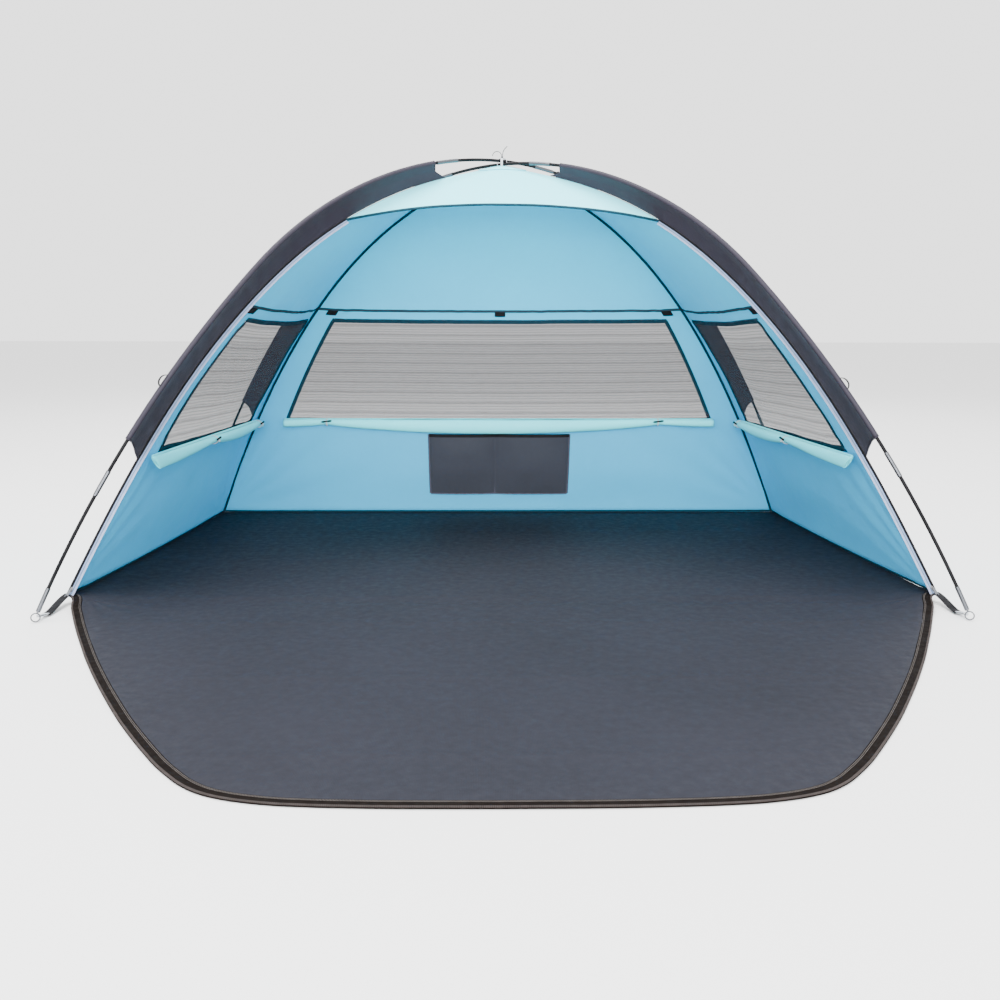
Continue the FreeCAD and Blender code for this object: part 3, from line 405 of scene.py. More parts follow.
def cubic(points, t):
    t = np.asarray(t, float)
    w = [(1 - t) ** 3, 3 * t * (1 - t) ** 2, 3 * t * t * (1 - t), t ** 3]
    return sum(w[i] * points[i, 0] for i in range(4)), sum(w[i] * points[i, 1] for i in range(4))


def ridge(t):
    """Share of the corner's reach, and height, along the rear ridges."""
    return cubic(REAR_RIDGE, t)


T_TABLE = np.linspace(0, 1, 4001)
Z_TABLE = ridge(T_TABLE)[1]
FRONT_K, FRONT_Z = cubic(FRONT_RIDGE, T_TABLE)


def t_at_z(z):
    return np.interp(-np.asarray(z, float), -Z_TABLE, T_TABLE)


def k_at_z(z):
    return ridge(t_at_z(z))[0]


WIN_TOP, WIN_SILL, SEAM_HEIGHT = 0.706, 0.360, 0.742
WIN_T0, WIN_T1, SEAM_T = (float(t_at_z(z)) for z in (WIN_TOP, WIN_SILL, SEAM_HEIGHT))
WIN_U = {"back": (0.0634, 0.9366), "left": (0.104, 0.9125), "right": (0.0875, 0.896)}


def peak(t):
    """The crown is drawn up to a small point by the tie."""
    return 0.008 * bell(np.asarray(t, float), 0.05)


def corner_line(key, t):
    """Points of one ridge; the front pair is fuller, and its foot is pulled up by the pole."""
    k, z = ridge(t)
    if key in FRONT_KEYS:
        k = np.interp(-z, -FRONT_Z, FRONT_K)
        z = z + CORNER_LIFT * smooth(0.45, 0.95, t)
    return np.stack([CORNER[key][0] * k, CORNER[key][1] * k, z + peak(t)], -1)


def gore_flat(name, u, t):
    """The straight-ruled gore between its two ridges, u from 0 to 1 across, t from crown to foot."""
    first, second = (corner_line(key, t) for key in GORES[name])
    u = u[..., None]
    P = first * (1 - u) + second * u
    level = (ridge(t)[1] + peak(t))[..., None]
    P[..., 2:] = level + (first[..., 2:] - level) * (1 - u) ** 2 + (second[..., 2:] - level) * u ** 2
    return P


def gore_normal(name, u, t):
    e = 1e-4
    du = gore_flat(name, np.clip(u + e, 0, 1), t) - gore_flat(name, np.clip(u - e, 0, 1), t)
    dt = gore_flat(name, u, np.clip(t + e, 0.001, 1)) - gore_flat(name, u, np.clip(t - e, 0.001, 1))
    n = unit(np.cross(dt, du))
    out = gore_flat(name, u, t) - BEHIND_CENTRE
    return n * np.sign((n * out).sum(-1).mean())


def fold_fan(dx, dz, folds, turn, reach):
    """Folds that spread from one point and fade with the distance."""
    r = np.hypot(dx, dz)
    return np.sin(np.arctan2(dz, dx) * folds + turn) * np.exp(-r / reach), r


def gore_point(name, u, t, lift=0.0):
    """The stretched cloth of one gore: slack between its ridges, folds from its corners."""
    u, t = np.broadcast_arrays(np.asarray(u, float), np.asarray(t, float))
    P = gore_flat(name, u, t)
    width = GORE_WIDTH[name]
    k = ridge(t)[0]
    across = np.minimum(u, 1 - u) * width * k
    edge = np.clip(np.sin(np.pi * u), 0, 1)
    slack = -0.017 * edge * smooth(0.05, 0.4, t) * (1 - smooth(0.9, 1.0, t) * 0.9)
    if name in ("left", "right"):
        slack = slack * (1 - 0.65 * bell(t - WIN_T1, 0.09))
    soft_edge = smooth(0.0, 0.10, across)
    foot = smooth(0.0, 0.05, 1 - t)
    d = slack + (0.0065 * noise_field(P, 2.7, 3.1) + 0.0022 * noise_field(P, 9.0, 8.3)) * soft_edge * foot
    # short puckers where the ridge seams pull
    pulls = noise_field(np.stack([t * 34, u * 3, t * 0 + len(name)], -1), 1.0)
    d = d + 0.0026 * pulls * np.exp(-across / 0.05) * smooth(0.0, 0.012, across) * foot
    # fans of folds out of the two lower corners
    for side in (0.0, 1.0):
        dx = np.abs(u - side) * width + 1e-6
        fan, r = fold_fan(dx, (1 - t) * FOLD_ARC, 17, side * 2 + len(name), 0.42)
        d = d + 0.0032 * fan * smooth(0.01, 0.12, r)
    # tension folds out of the window corners
    for corner_u in (0.07, 0.93):
        for corner_t in (WIN_T0, WIN_T1):
            dx = (u - corner_u) * width * k
            fan, r = fold_fan(dx, (t - corner_t) * FOLD_ARC, 7, corner_u * 9, 0.10)
            d = d + 0.0016 * fan * smooth(0.0, 0.02, r) * soft_edge
    # the long seam above the windows draws the cloth in
    seam = np.abs(t - SEAM_T) * FOLD_ARC
    pucker = noise_field(np.stack([u * width * 22, t * 2, t * 0 + 5], -1), 1.0)
    d = d + (0.0015 * pucker * np.exp(-seam / 0.03) - 0.002 * np.exp(-seam / 0.006)) * soft_edge
    if name == "front":
        d = d * 0.55
    N = gore_normal(name, u, np.maximum(t, 0.02))
    return P + N * (d + lift)[..., None]


# ------------------------------------------------------------------ mesh builders
HINGE_Y = -0.5505
DOOR_BEND = ((0, HINGE_Y, 0), (0, -0.600, 0))


def coat(o, *mats):
    for m in mats:
        o.data.materials.append(m)
    return o


def finish_piece(o, mats=(), replaces=(), body="tent", bend=None):
    """Adds materials, hides the CAD nodes it stands for and parents it to its body; when bend is given
    (always for the door), it bakes its transform into the mesh instead.
    """
    coat(o, *mats)
    if body == "door":
        bend = DOOR_BEND
    if bend is not None:
        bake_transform(o)
    else:
        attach(o, body)
    if replaces:
        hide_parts(*replaces)
    return o


def shade_smooth(mesh, angle):
    """Smooth shading, with an edge kept where faces meet at more than the angle."""
    mesh.polygons.foreach_set("use_smooth", [True] * len(mesh.polygons))
    if angle:
        mesh.set_sharp_from_angle(angle=math.radians(angle))


def mesh_object(name, verts, faces, uvs, angle=None):
    me = bpy.data.meshes.new(name)
    me.from_pydata([tuple(map(float, v)) for v in verts], [], [tuple(map(int, f)) for f in faces])
    layer = me.uv_layers.new(name="UVMap")
    loops = np.empty(len(me.loops), dtype=np.int32)
    me.loops.foreach_get("vertex_index", loops)
    layer.data.foreach_set("uv", np.asarray(uvs, dtype=np.float32)[loops].ravel())
    me.update()
    shade_smooth(me, angle)
    return add_object(name, me)


def grid_faces(rows, cols, wrap=False, keep=None):
    faces = []
    for i in range(rows - 1):
        for j in range(cols if wrap else cols - 1):
            if keep is None or keep[i, j]:
                j2 = (j + 1) % cols
                faces.append((i * cols + j, i * cols + j2, (i + 1) * cols + j2, (i + 1) * cols + j))
    return faces


def grid_object(name, P, U, keep=None, weld=0.0):
    rows, cols = P.shape[:2]
    o = mesh_object(name, P.reshape(-1, 3), grid_faces(rows, cols, keep=keep), U.reshape(-1, 2))
    clean(o, weld)
    return o


def clean(o, weld=0.0):
    """Welds close points, and removes empty faces and loose points."""
    bm = bmesh.new()
    bm.from_mesh(o.data)
    if weld:
        bmesh.ops.remove_doubles(bm, verts=bm.verts, dist=weld)
    bmesh.ops.dissolve_degenerate(bm, edges=bm.edges, dist=1e-7)
    loose = [v for v in bm.verts if not v.link_faces]
    bmesh.ops.delete(bm, geom=loose, context="VERTS")
    bm.to_mesh(o.data)
    bm.free()


def thicken(o, amount, offset=-1.0, inner_mat=0, rim=True):
    s = o.modifiers.new("thickness", "SOLIDIFY")
    s.thickness = amount
    s.offset = offset
    s.use_rim = rim
    s.material_offset = inner_mat
    s.material_offset_rim = inner_mat


def sweep(name, points, across, out, section, caps=True):
    """Sweeps a section along points; across and out are the section's two axes per point."""
    pts = np.asarray(points, float)
    across, out = (np.broadcast_to(np.asarray(v, float), pts.shape) for v in (across, out))
    sec = np.asarray(section, float)
    if sec.ndim == 2:
        sec = np.broadcast_to(sec, (len(pts),) + sec.shape)
    n, m = len(pts), len(sec[0])
    P = pts[:, None] + sec[..., 0:1] * across[:, None] + sec[..., 1:2] * out[:, None]
    U = np.stack(np.meshgrid(path_length(sec[0]), path_length(pts)), -1)
    faces = grid_faces(n, m, wrap=True)
    if caps:
        faces.append(tuple(range(m))[::-1])
        faces.append(tuple((n - 1) * m + j for j in range(m)))
    return mesh_object(name, P.reshape(-1, 3), faces, U.reshape(-1, 2), 40)


def band_section(width, thick, bevel=0.35):
    w, h = width / 2, thick / 2
    b = min(h, w) * bevel
    return np.array([
        (-w + b, -h), (0, -h), (w - b, -h), (w, -h + b), (w, h - b), (w - b, h),
        (0, h), (-w + b, h), (-w, h - b), (-w, -h + b),
    ])


def round_section(radius, count):
    a = np.linspace(0, 2 * math.pi, count, endpoint=False)
    return np.stack([np.cos(a) * radius, np.sin(a) * radius], 1)


def tube(name, points, radius, count):
    pts = np.asarray(points, float)
    tan = tangents(pts)
    ref = np.array([1.0, 0.0, 0.0]) if abs(unit(pts[-1] - pts[0]) @ UP) > 0.9 else UP
    a = unit(np.cross(tan, ref))
    return sweep(name, pts, a, np.cross(a, tan), round_section(radius, count))


def join(name, objs):
    """One mesh of several, with their modifiers applied, keeping each one's materials and UVs."""
    depsgraph = bpy.context.evaluated_depsgraph_get()
    bm = bmesh.new()
    bm.loops.layers.uv.new("UVMap")
    mats = []
    for o in objs:
        own = list(o.data.materials)
        mats += [m for m in own if m not in mats]
        evaluated = o.evaluated_get(depsgraph)
        start = len(bm.faces)
        bm.from_mesh(evaluated.to_mesh())
        bm.faces.ensure_lookup_table()
        if own:
            for f in bm.faces[start:]:
                f.material_index = mats.index(own[min(f.material_index, len(own) - 1)])
        evaluated.to_mesh_clear()
    me = bpy.data.meshes.new(name)
    bm.to_mesh(me)
    bm.free()
    new = coat(add_object(name, me), *mats)
    for o in objs:
        data = o.data
        bpy.data.objects.remove(o)
        bpy.data.meshes.remove(data)
    return new


BOX = np.array([(x, y, w) for x in (-1, 1) for y in (-1, 1) for w in (-1, 1)], float)
BOX_FACES = [(0, 1, 3, 2), (4, 6, 7, 5), (0, 4, 5, 1), (2, 3, 7, 6), (0, 2, 6, 4), (1, 5, 7, 3)]


def row_of_boxes(name, points, across, up, pitch, half, mat, body):
    """Small blocks one pitch apart along a line: zip teeth and stitches."""
    length = path_length(points)
    across, up = (np.broadcast_to(np.asarray(v, float), points.shape) for v in (across, up))
    lines = (points, across, up, tangents(points))
    verts, faces = [], []
    for s in np.arange(pitch / 2, length[-1], pitch):
        spot, a, n, along = (np.array([np.interp(s, length, q[:, i]) for i in range(3)]) for q in lines)
        start = len(verts)
        verts += [spot + a * x * half[0] + n * y * half[1] + along * w * half[2] for x, y, w in BOX]
        faces += [tuple(start + i for i in f) for f in BOX_FACES]
    o = mesh_object(name, verts, faces, np.zeros((len(verts), 2)), 30)
    return finish_piece(o, (mat,), (), body)


def surface_strip(gore, u, t, half, lift, thick, mat):
    """A tape that lies on a gore along the line (u, t), half wide each way."""
    normal = gore_normal(gore, u, np.maximum(t, 0.02))
    centre = gore_point(gore, u, t)
    across = unit(np.cross(normal, tangents(centre)))
    return coat(sweep("strip", centre + normal * lift, across, normal, band_section(half * 2, thick)), mat)


# ------------------------------------------------------------------ canopy cloth
def columns(name):
    u0, u1 = WIN_U[name]
    step = 0.016 / GORE_WIDTH[name]
    parts = [spaced(0, u0, step * 0.5), spaced(u0, u1, step), spaced(u1, 1, step * 0.5)]
    return np.concatenate([parts[0], parts[1][1:], parts[2][1:]])


rows_t = np.concatenate([
    spaced(0.0, SEAM_T, 0.012),
    spaced(SEAM_T, WIN_T0, 0.008)[1:],
    spaced(WIN_T0, WIN_T1, 0.011)[1:],
    spaced(WIN_T1, 1.0, 0.011)[1:],
])
blocks, uvs, keeps = [], [], []
offset = 0.0
for name in ("left", "back", "right"):
    cols = columns(name)
    uu, tt = np.meshgrid(cols, rows_t)
    u0, u1 = WIN_U[name]
    mid_u = (cols[:-1] + cols[1:]) / 2
    mid_t = (rows_t[:-1] + rows_t[1:]) / 2
    hole = ((mid_u > u0) & (mid_u < u1))[None] & ((mid_t > WIN_T0) & (mid_t < WIN_T1))[:, None]
    first = 1 if blocks else 0
    blocks.append(gore_point(name, uu, tt)[:, first:])
    uvs.append(np.stack([offset + uu * GORE_WIDTH[name], tt * ARC], -1)[:, first:])
    keeps.append(~hole)
    offset += GORE_WIDTH[name]
keep = np.concatenate(keeps, 1)
canopy = grid_object("canopy_cloth", np.concatenate(blocks, 1), np.concatenate(uvs, 1), keep, 2e-5)
canopy_normals = np.array([p.normal for p in canopy.data.polygons])
centres = np.array([p.center for p in canopy.data.polygons])
if ((canopy_normals * (centres - BEHIND_CENTRE)).sum(1)).mean() < 0:
    canopy.data.flip_normals()
thicken(canopy, 0.0009, inner_mat=1)
WALL_PARTS = ("_upper_panel", "_window_surround", "_lower_wall")
canopy_nodes = [side + part for side in ("back", "left", "right") for part in WALL_PARTS]
finish_piece(canopy, (BLUE_OUT, BLUE_IN), canopy_nodes)

# Visor over the doorway, in front of the crown; its lower edge is an arc.
ARCH_MID, ARCH_TIP = 1.019, 0.966
ARCH_REACH = float(corner_line("fr", t_at_z(ARCH_TIP))[0])


def arch_z(x):
    sag = ARCH_MID - ARCH_TIP
    radius = (ARCH_REACH ** 2 + sag ** 2) / (2 * sag)
    x = np.clip(np.abs(x), 0, ARCH_REACH)
    return ARCH_MID - radius + np.sqrt(radius ** 2 - x ** 2)


def visor_edge_t(u):
    """Where the gore's line at u meets the arc, by halving."""
    low, high = np.zeros_like(u) + 0.05, np.ones_like(u) * 0.6
    for _ in range(40):
        mid = (low + high) / 2
        edge = corner_line("fr", mid)
        below = edge[..., 2] < arch_z((1 - 2 * u) * edge[..., 0])
        high = np.where(below, mid, high)
        low = np.where(below, low, mid)
    return high


cols = np.linspace(0, 1, 96)
edge_t = visor_edge_t(cols)
down_share = np.linspace(0, 1, 44)
uu = np.broadcast_to(cols, (len(down_share), len(cols)))
tt = down_share[:, None] * edge_t[None]
visor_uv = np.stack([uu * GORE_WIDTH["front"], tt * ARC], -1)
visor = grid_object("visor_cloth", gore_point("front", uu, tt), visor_uv, weld=2e-5)
if visor.data.polygons[len(visor.data.polygons) // 2].normal.z < 0:
    visor.data.flip_normals()
thicken(visor, 0.0009, inner_mat=1)
finish_piece(visor, (PALE, BLUE_IN), ["visor_panel"])

edge_line = gore_point("front", cols, edge_t)
normal = gore_normal("front", cols, edge_t)
down = unit(np.cross(normal, tangents(edge_line)))
if down[len(down) // 2][2] > 0:
    down = -down
visor_band = sweep("visor_edge_binding", edge_line - down * 0.002, down, normal, band_section(0.0075, 0.0028))
finish_piece(visor_band, (TEAL,), ["visor_edge_band"])

# Crown patch: a small reinforcing piece over the point where the gores meet.
PATCH_T = 0.049
patch = []
for name in ("left", "back", "right", "front"):
    uu, vv = np.meshgrid(np.linspace(0, 1, 13), np.linspace(0, 1, 9))
    reach = PATCH_T * (1 - 0.18 * np.sin(np.pi * uu))
    P = gore_point(name, uu, vv * reach, 0.0012)
    patch.append(grid_object("patch_" + name, P, np.stack([uu * 0.1, vv * 0.08], -1)))
crown = join("crown_patch_cloth", patch)
clean(crown, 4e-4)
bm = bmesh.new()
bm.from_mesh(crown.data)
bmesh.ops.recalc_face_normals(bm, faces=bm.faces)
if sum(f.normal.z for f in bm.faces) < 0:
    bmesh.ops.reverse_faces(bm, faces=bm.faces)
bm.to_mesh(crown.data)
bm.free()
thicken(crown, 0.0011, 1.0)
finish_piece(crown, (PALE,), ["crown_patch"])

# ------------------------------------------------------------------ windows
for name in ("back", "left", "right"):
    u0, u1 = WIN_U[name]
    width = GORE_WIDTH[name]
    lap_u, lap_t = 0.009 / width, 0.006
    net_u = spaced(u0 - lap_u, u1 + lap_u, 0.02 / width)
    uu, tt = np.meshgrid(net_u, spaced(WIN_T0 - lap_t, WIN_T1 + lap_t, 0.013))
    net_uv = np.stack([uu * width * ridge(tt)[0], tt * ARC], -1)
    net = grid_object(name + "_window_net", gore_point(name, uu, tt, -0.0022), net_uv)
    thicken(net, 0.0004, 0.0)
    finish_piece(net, (NET,), [name + "_window_mesh"])
    tline, uline = spaced(WIN_T0, WIN_T1, 0.012), spaced(u0, u1, 0.018 / width)
    sides = [(np.full_like(tline, u), tline) for u in (u0, u1)]
    sides += [(uline, np.full_like(uline, t)) for t in (WIN_T0, WIN_T1)]
    strips = []
    for lift, half in ((-0.0034, 0.0058), (0.0008, 0.005)):
        strips += [surface_strip(name, u, t, half, lift, 0.0012, TEAL) for u, t in sides]
    finish_piece(join(name + "_window_binding", strips))

# Long seam above the windows, inside and out, and the seam where the walls meet the floor.
strips = []
for name in ("left", "back", "right"):
    uline = spaced(0.0, 1.0, 0.018 / GORE_WIDTH[name])
    for t, half, lift, thick, mat in (
        (SEAM_T, 0.0045, -0.0016, 0.001, SEAM),
        (SEAM_T, 0.003, 0.0006, 0.0008, SEAM),
        (0.9975, 0.004, -0.0018, 0.0014, TEAL),
    ):
        strips.append(surface_strip(name, uline, np.full_like(uline, t), half, lift, thick, mat))
finish_piece(join("wall_seam_tapes", strips))

# Dark bindings inside the two rear ridges.
for tag, key in (("left", "rl"), ("right", "rr")):
    x, y = CORNER[key]
    line = corner_line(key, spaced(0.03, 0.995, 0.012))
    plane = unit(np.array([-y, x, 0.0]))
    inward = np.cross(tangents(line), plane)
    if inward[30][2] > 0:
        inward = -inward
    section = band_section(0.011, 0.004, 0.8)
    binding = sweep("rear_ridge_seam_" + tag, line + inward * 0.0055, plane, inward, section)
    finish_piece(binding, (TEAL,), ["rear_ridge_binding_" + tag])

# ------------------------------------------------------------------ front edge: piping, zip tape, teeth
TAPE_T0 = float(t_at_z(0.960))
TAPE_WIDTH = 0.0100
PIPING = 0.0032
TOOTH_HALF = (0.0015, 0.0010, 0.00085)
for tag, key, sign in (("left", "fl", -1), ("right", "fr", 1)):
    tline = spaced(TAPE_T0 - 0.012, 1.0, 0.008)
    line = corner_line(key, tline)
    tan = tangents(line)
    inward = np.array([-sign, 0.12, 0.0])
    across = unit(inward - tan * (tan @ inward)[:, None])
    out = unit(np.cross(across, tan))
    if out[10][1] > 0:
        out = -out
    wave = noise_line(tline, 30, sign * 2)
    piping = sweep("door_piping_" + tag, line + out * 0.0012, across, out, round_section(PIPING, 8))
    finish_piece(piping, (BLACK,))
    mid = line + across * (PIPING + TAPE_WIDTH / 2) + out * (0.0014 + wave * 0.0012)[:, None]
    tape = sweep("zip_tape_cloth_" + tag, mid, across, out, band_section(TAPE_WIDTH, 0.0011))
    finish_piece(tape, (TAPE,), ["zip_tape_" + tag])
    coil = mid + across * (TAPE_WIDTH / 2) + out * 0.0004
    row_of_boxes("zip_teeth_" + tag, coil, across, out, 0.0026, TOOTH_HALF, TEETH, "tent")

# ------------------------------------------------------------------ poles and metal keep their CAD shapes
CAD_LOOKS = (("_section", POLE), ("_sections", POLE), ("_ferrules", STEEL), ("ring_pins", STEEL),
             ("_shock_cord", ELASTIC))
for node_name, o in frame["nodes"].items():
    for ending, mat in CAD_LOOKS:
        if node_name.endswith(ending):
            o.data.materials.clear()
            coat(o, mat)
            shade_smooth(o.data, 35)

# ------------------------------------------------------------------ pole line, repeated from the part
FOOT = np.array([1.110, 0.705])
FOOT_Z = 0.0123
FOOT_REACH = float(np.hypot(*FOOT))
CROWN_TURN, LEG_TURN = math.radians(46.0), math.radians(64.2)


class BentPole:
    """Half a pole in its upright plane: a tighter arc over the crown, a flatter arc down the leg."""

    def __init__(self, sx, sy, top):
        self.out = np.array([FOOT[0] * sx, FOOT[1] * sy, 0.0]) / FOOT_REACH
        self.plane = np.array([-self.out[1], self.out[0], 0.0])
        self.top = top
        drop = top - FOOT_Z
        sa, ca = math.sin(CROWN_TURN), math.cos(CROWN_TURN)
        sb, cb = math.sin(LEG_TURN), math.cos(LEG_TURN)
        base = sa * (ca - cb) - (sb - sa) * (1 - ca)
        self.r1 = (FOOT_REACH * (ca - cb) - (sb - sa) * drop) / base
        self.r2 = (sa * drop - (1 - ca) * FOOT_REACH) / base
        self.l1 = self.r1 * CROWN_TURN
        self.half = self.l1 + self.r2 * (LEG_TURN - CROWN_TURN)

    def at(self, s):
        """Point and outward direction at arc length s from the crown."""
        s = np.asarray(s, float)
        a = np.where(s <= self.l1, s / self.r1, CROWN_TURN + (s - self.l1) / self.r2)
        crown_a, leg_a = np.minimum(a, CROWN_TURN), np.maximum(a, CROWN_TURN)
        reach = self.r1 * np.sin(crown_a) + self.r2 * (np.sin(leg_a) - math.sin(CROWN_TURN))
        fall = self.r1 * (1 - np.cos(crown_a)) + self.r2 * (math.cos(CROWN_TURN) - np.cos(leg_a))
        n = np.sin(a)[..., None] * self.out + np.cos(a)[..., None] * UP
        return reach[..., None] * self.out + (self.top - fall)[..., None] * UP, n


UPPER, LOWER = 1.1545, 1.1455
POLES = {
    "fl": BentPole(-1, -1, UPPER),
    "rr": BentPole(1, 1, UPPER),
    "rl": BentPole(-1, 1, LOWER),
    "fr": BentPole(1, -1, LOWER),
}

# ------------------------------------------------------------------ sleeves
SLEEVE_SPAN = {"fl": (0.226, 1.366), "fr": (0.192, 1.353), "rl": (0.246, 1.360), "rr": (0.200, 1.360)}
SLEEVE_RADIUS = 0.0065
PINCH = 0.019
HEM_RUN = 0.036
FIN_COLUMNS = 8
ARC_COLUMNS = 13
SEAM_ALLOWANCE = 1.15


def sleeve_seam(key, pole, s):
    """Where the cloth of the sleeve is sewn to the ridge, for each place along the pole."""
    tline = np.linspace(0.0, 1.0, 2001)
    points = corner_line(key, tline)
    coarse = np.linspace(s.min(), s.max(), 24)
    p, n = pole.at(coarse)
    picks = [tline[np.argmin(((points - q) ** 2).sum(1))] for q in p - n * 0.045]
    fit = np.polynomial.Polynomial.fit(coarse, picks, 5)
    return corner_line(key, fit(s))


# Columns round a sleeve: (share of the way up the fin, side of the fin, angle round the pole).
arc_start = math.acos(SLEEVE_RADIUS / PINCH)
fin = [f / FIN_COLUMNS for f in range(FIN_COLUMNS)]
stations = [(f, 1, None) for f in fin]
stations += [(1.0, 0, q) for q in np.linspace(arc_start, 2 * math.pi - arc_start, ARC_COLUMNS)]
stations += [(f, -1, None) for f in fin[::-1]]
share = spaced(0.0, 1.0, 0.006)
for seed, (key, pole) in enumerate(POLES.items()):
    begin, stop = SLEEVE_SPAN[key]
    P = np.zeros((len(share), len(stations), 3))
    for j, (f, side_sign, angle) in enumerate(stations):
        hem = HEM_RUN * (1 - f) ** 1.15
        s = begin - hem + (stop - begin + 2 * hem) * share
        p, n = pole.at(s)
        seam = sleeve_seam(key, pole, s) + n * 0.0016
        fall = unit(seam - p)
        side = unit(np.cross(tangents(p), fall))
        if angle is None:
            pinch = p + fall * PINCH
            ripple = 0.0030 * noise_line(s, 26, seed) + 0.0014 * noise_line(s, 60, seed + 5)
            shift = side_sign * 0.0007 + ripple * math.sin(math.pi * f)
            P[:, j] = seam + (pinch - seam) * f + side * shift[:, None]
        else:
            swell = SLEEVE_RADIUS * (1 + 0.05 * noise_line(s + angle * 0.02, 60, seed))
            P[:, j] = p + (fall * math.cos(angle) + side * math.sin(angle)) * swell[:, None]
    ring_len = path_length(P[len(share) // 2])
    U = np.stack(np.meshgrid(ring_len, begin + (stop - begin) * share), -1)
    sleeve = grid_object("sleeve_" + LONG[key], P, U)
    finish_piece(sleeve, (GREY,), ["pole_sleeve_" + LONG[key]])
    hems = [coat(tube("hem", P[row], 0.0011, 6), GREY) for row in (0, -1)]
    hem_piece = finish_piece(join("sleeve_hems_" + LONG[key], hems))
    length, width = stop - begin + 2 * HEM_RUN, float(ring_len[-1]) * SEAM_ALLOWANCE
    thicken(sleeve, 0.0007, 0.0)

# Guy-out loops sewn on the front sleeves.
GUY_LOOP_AT = 1.200
LOOP_HALF = 0.016
for key in FRONT_KEYS:
    pole = POLES[key]
    (p, p2), n = pole.at(np.array([GUY_LOOP_AT, GUY_LOOP_AT + 0.01]))
    along = unit(p2 - p)
    lifts = [(x, 0.0072 + 0.0085 * (1 - abs(x) ** 2.6)) for x in np.linspace(-1, 1, 25)]
    path = np.array([p + along * x * LOOP_HALF + n[0] * lift for x, lift in lifts])
    out = unit(np.cross(pole.plane, tangents(path)))
    loop = sweep("guy_loop_" + LONG[key], path, pole.plane, out, band_section(0.012, 0.0013))
    finish_piece(loop, (BLACK,), ["guy_out_loops"] if key == "fl" else [])


# ------------------------------------------------------------------ floor sheet
SHEET_BASE = 0.0013


def ground_wave(X, Y, seed):
    P = np.stack([X, Y, np.zeros_like(X)], -1)
    height = noise_field(P, 3.2, seed) * 0.0022 + noise_field(P, 9.0, seed + 4) * 0.0009 + 0.0012
    return np.clip(height, 0.0002, 0.006)


def crease(x, pitch):
    """Packing creases one pitch apart."""
    d = np.abs((x / pitch + 0.5) % 1.0 - 0.5) * pitch
    return bell(d, 0.012)


def corner_rise(X, Y):
    """How far the front corners of the floor and the door are pulled up off the ground."""
    depth = REAR_Y - FRONT_Y
    side_x = FRONT_HALF - TAPER * np.clip((Y - FRONT_Y) / depth, 0, 1)
    aside = np.clip(side_x - np.abs(X), 0, None)
    behind = np.clip((REAR_Y - Y) / depth, 0, 1) ** 2
    return CORNER_LIFT * bell(aside, 0.09) * behind * bell(np.clip(FRONT_Y - Y, 0, None), 0.10)


def ground_cloth(name, X, Y, Z, weld=0.0):
    """A sheet that lies on the ground, with its upper side up."""
    o = grid_object(name, np.stack([X, Y, Z], -1), np.stack([X, Y], -1), weld=weld)
    if o.data.polygons[len(o.data.polygons) // 2].normal.z < 0:
        o.data.flip_normals()
    return o


vv, hh = np.meshgrid(np.linspace(0, 1, 72), np.linspace(-1, 1, 150), indexing="ij")
X = hh * (FRONT_HALF - TAPER * vv)
Y = HINGE_Y + (REAR_Y - HINGE_Y) * vv
Z = ground_wave(X, Y, 1.7) + 0.0012 * crease(X, 0.44) + 0.0010 * crease(Y + 0.1, 0.40)
from_edge = np.minimum(np.minimum(1 - np.abs(hh), vv * FRONT_HALF), (1 - vv) * FRONT_HALF)
Z = Z * smooth(0.0, 0.05, from_edge) + SHEET_BASE + corner_rise(X, Y)
floor = ground_cloth("floor_sheet_cloth", X, Y, Z)
finish_piece(floor, (GROUND,), ["floor_sheet"])
thicken(floor, 0.0011, rim=False)     # a rim would show as a light line at the hinge

# ------------------------------------------------------------------ door panel
DOOR_EDGE = [   # distance ahead of the hinge, half width there
    (0.0, 1.094), (0.014, 1.083), (0.036, 1.073), (0.070, 1.062), (0.110, 1.043), (0.222, 0.989),
    (0.329, 0.935), (0.426, 0.885), (0.544, 0.820), (0.649, 0.759), (0.743, 0.702), (0.828, 0.646),
    (0.887, 0.605), (0.924, 0.578), (0.960, 0.548), (0.994, 0.516), (1.024, 0.474), (1.046, 0.415),
    (1.060, 0.335), (1.068, 0.190), (1.070, 0.0),
]
BINDING_WIDTH = 0.024
EDGE_STEP = 0.012


def dense_edge(points):
    """The door's outline as a smooth run from the right hinge corner to the left one."""
    right = [(w, HINGE_Y - r) for r, w in points]
    left = [(-w, y) for w, y in right[:-1]][::-1]
    pts = np.array(right + left)
    out = []
    last = len(pts) - 1
    for i in range(last):
        p0, p1, p2, p3 = pts[max(i - 1, 0)], pts[i], pts[i + 1], pts[min(i + 2, last)]
        count = max(2, int(np.linalg.norm(p2 - p1) / EDGE_STEP))
        for q in np.arange(count) / count:
            curve = (2 * p0 - 5 * p1 + 4 * p2 - p3) * q * q + (-p0 + 3 * p1 - 3 * p2 + p3) * q ** 3
            out.append(0.5 * ((2 * p1) + (-p0 + p2) * q + curve))
    out.append(pts[-1])
    return np.array(out)


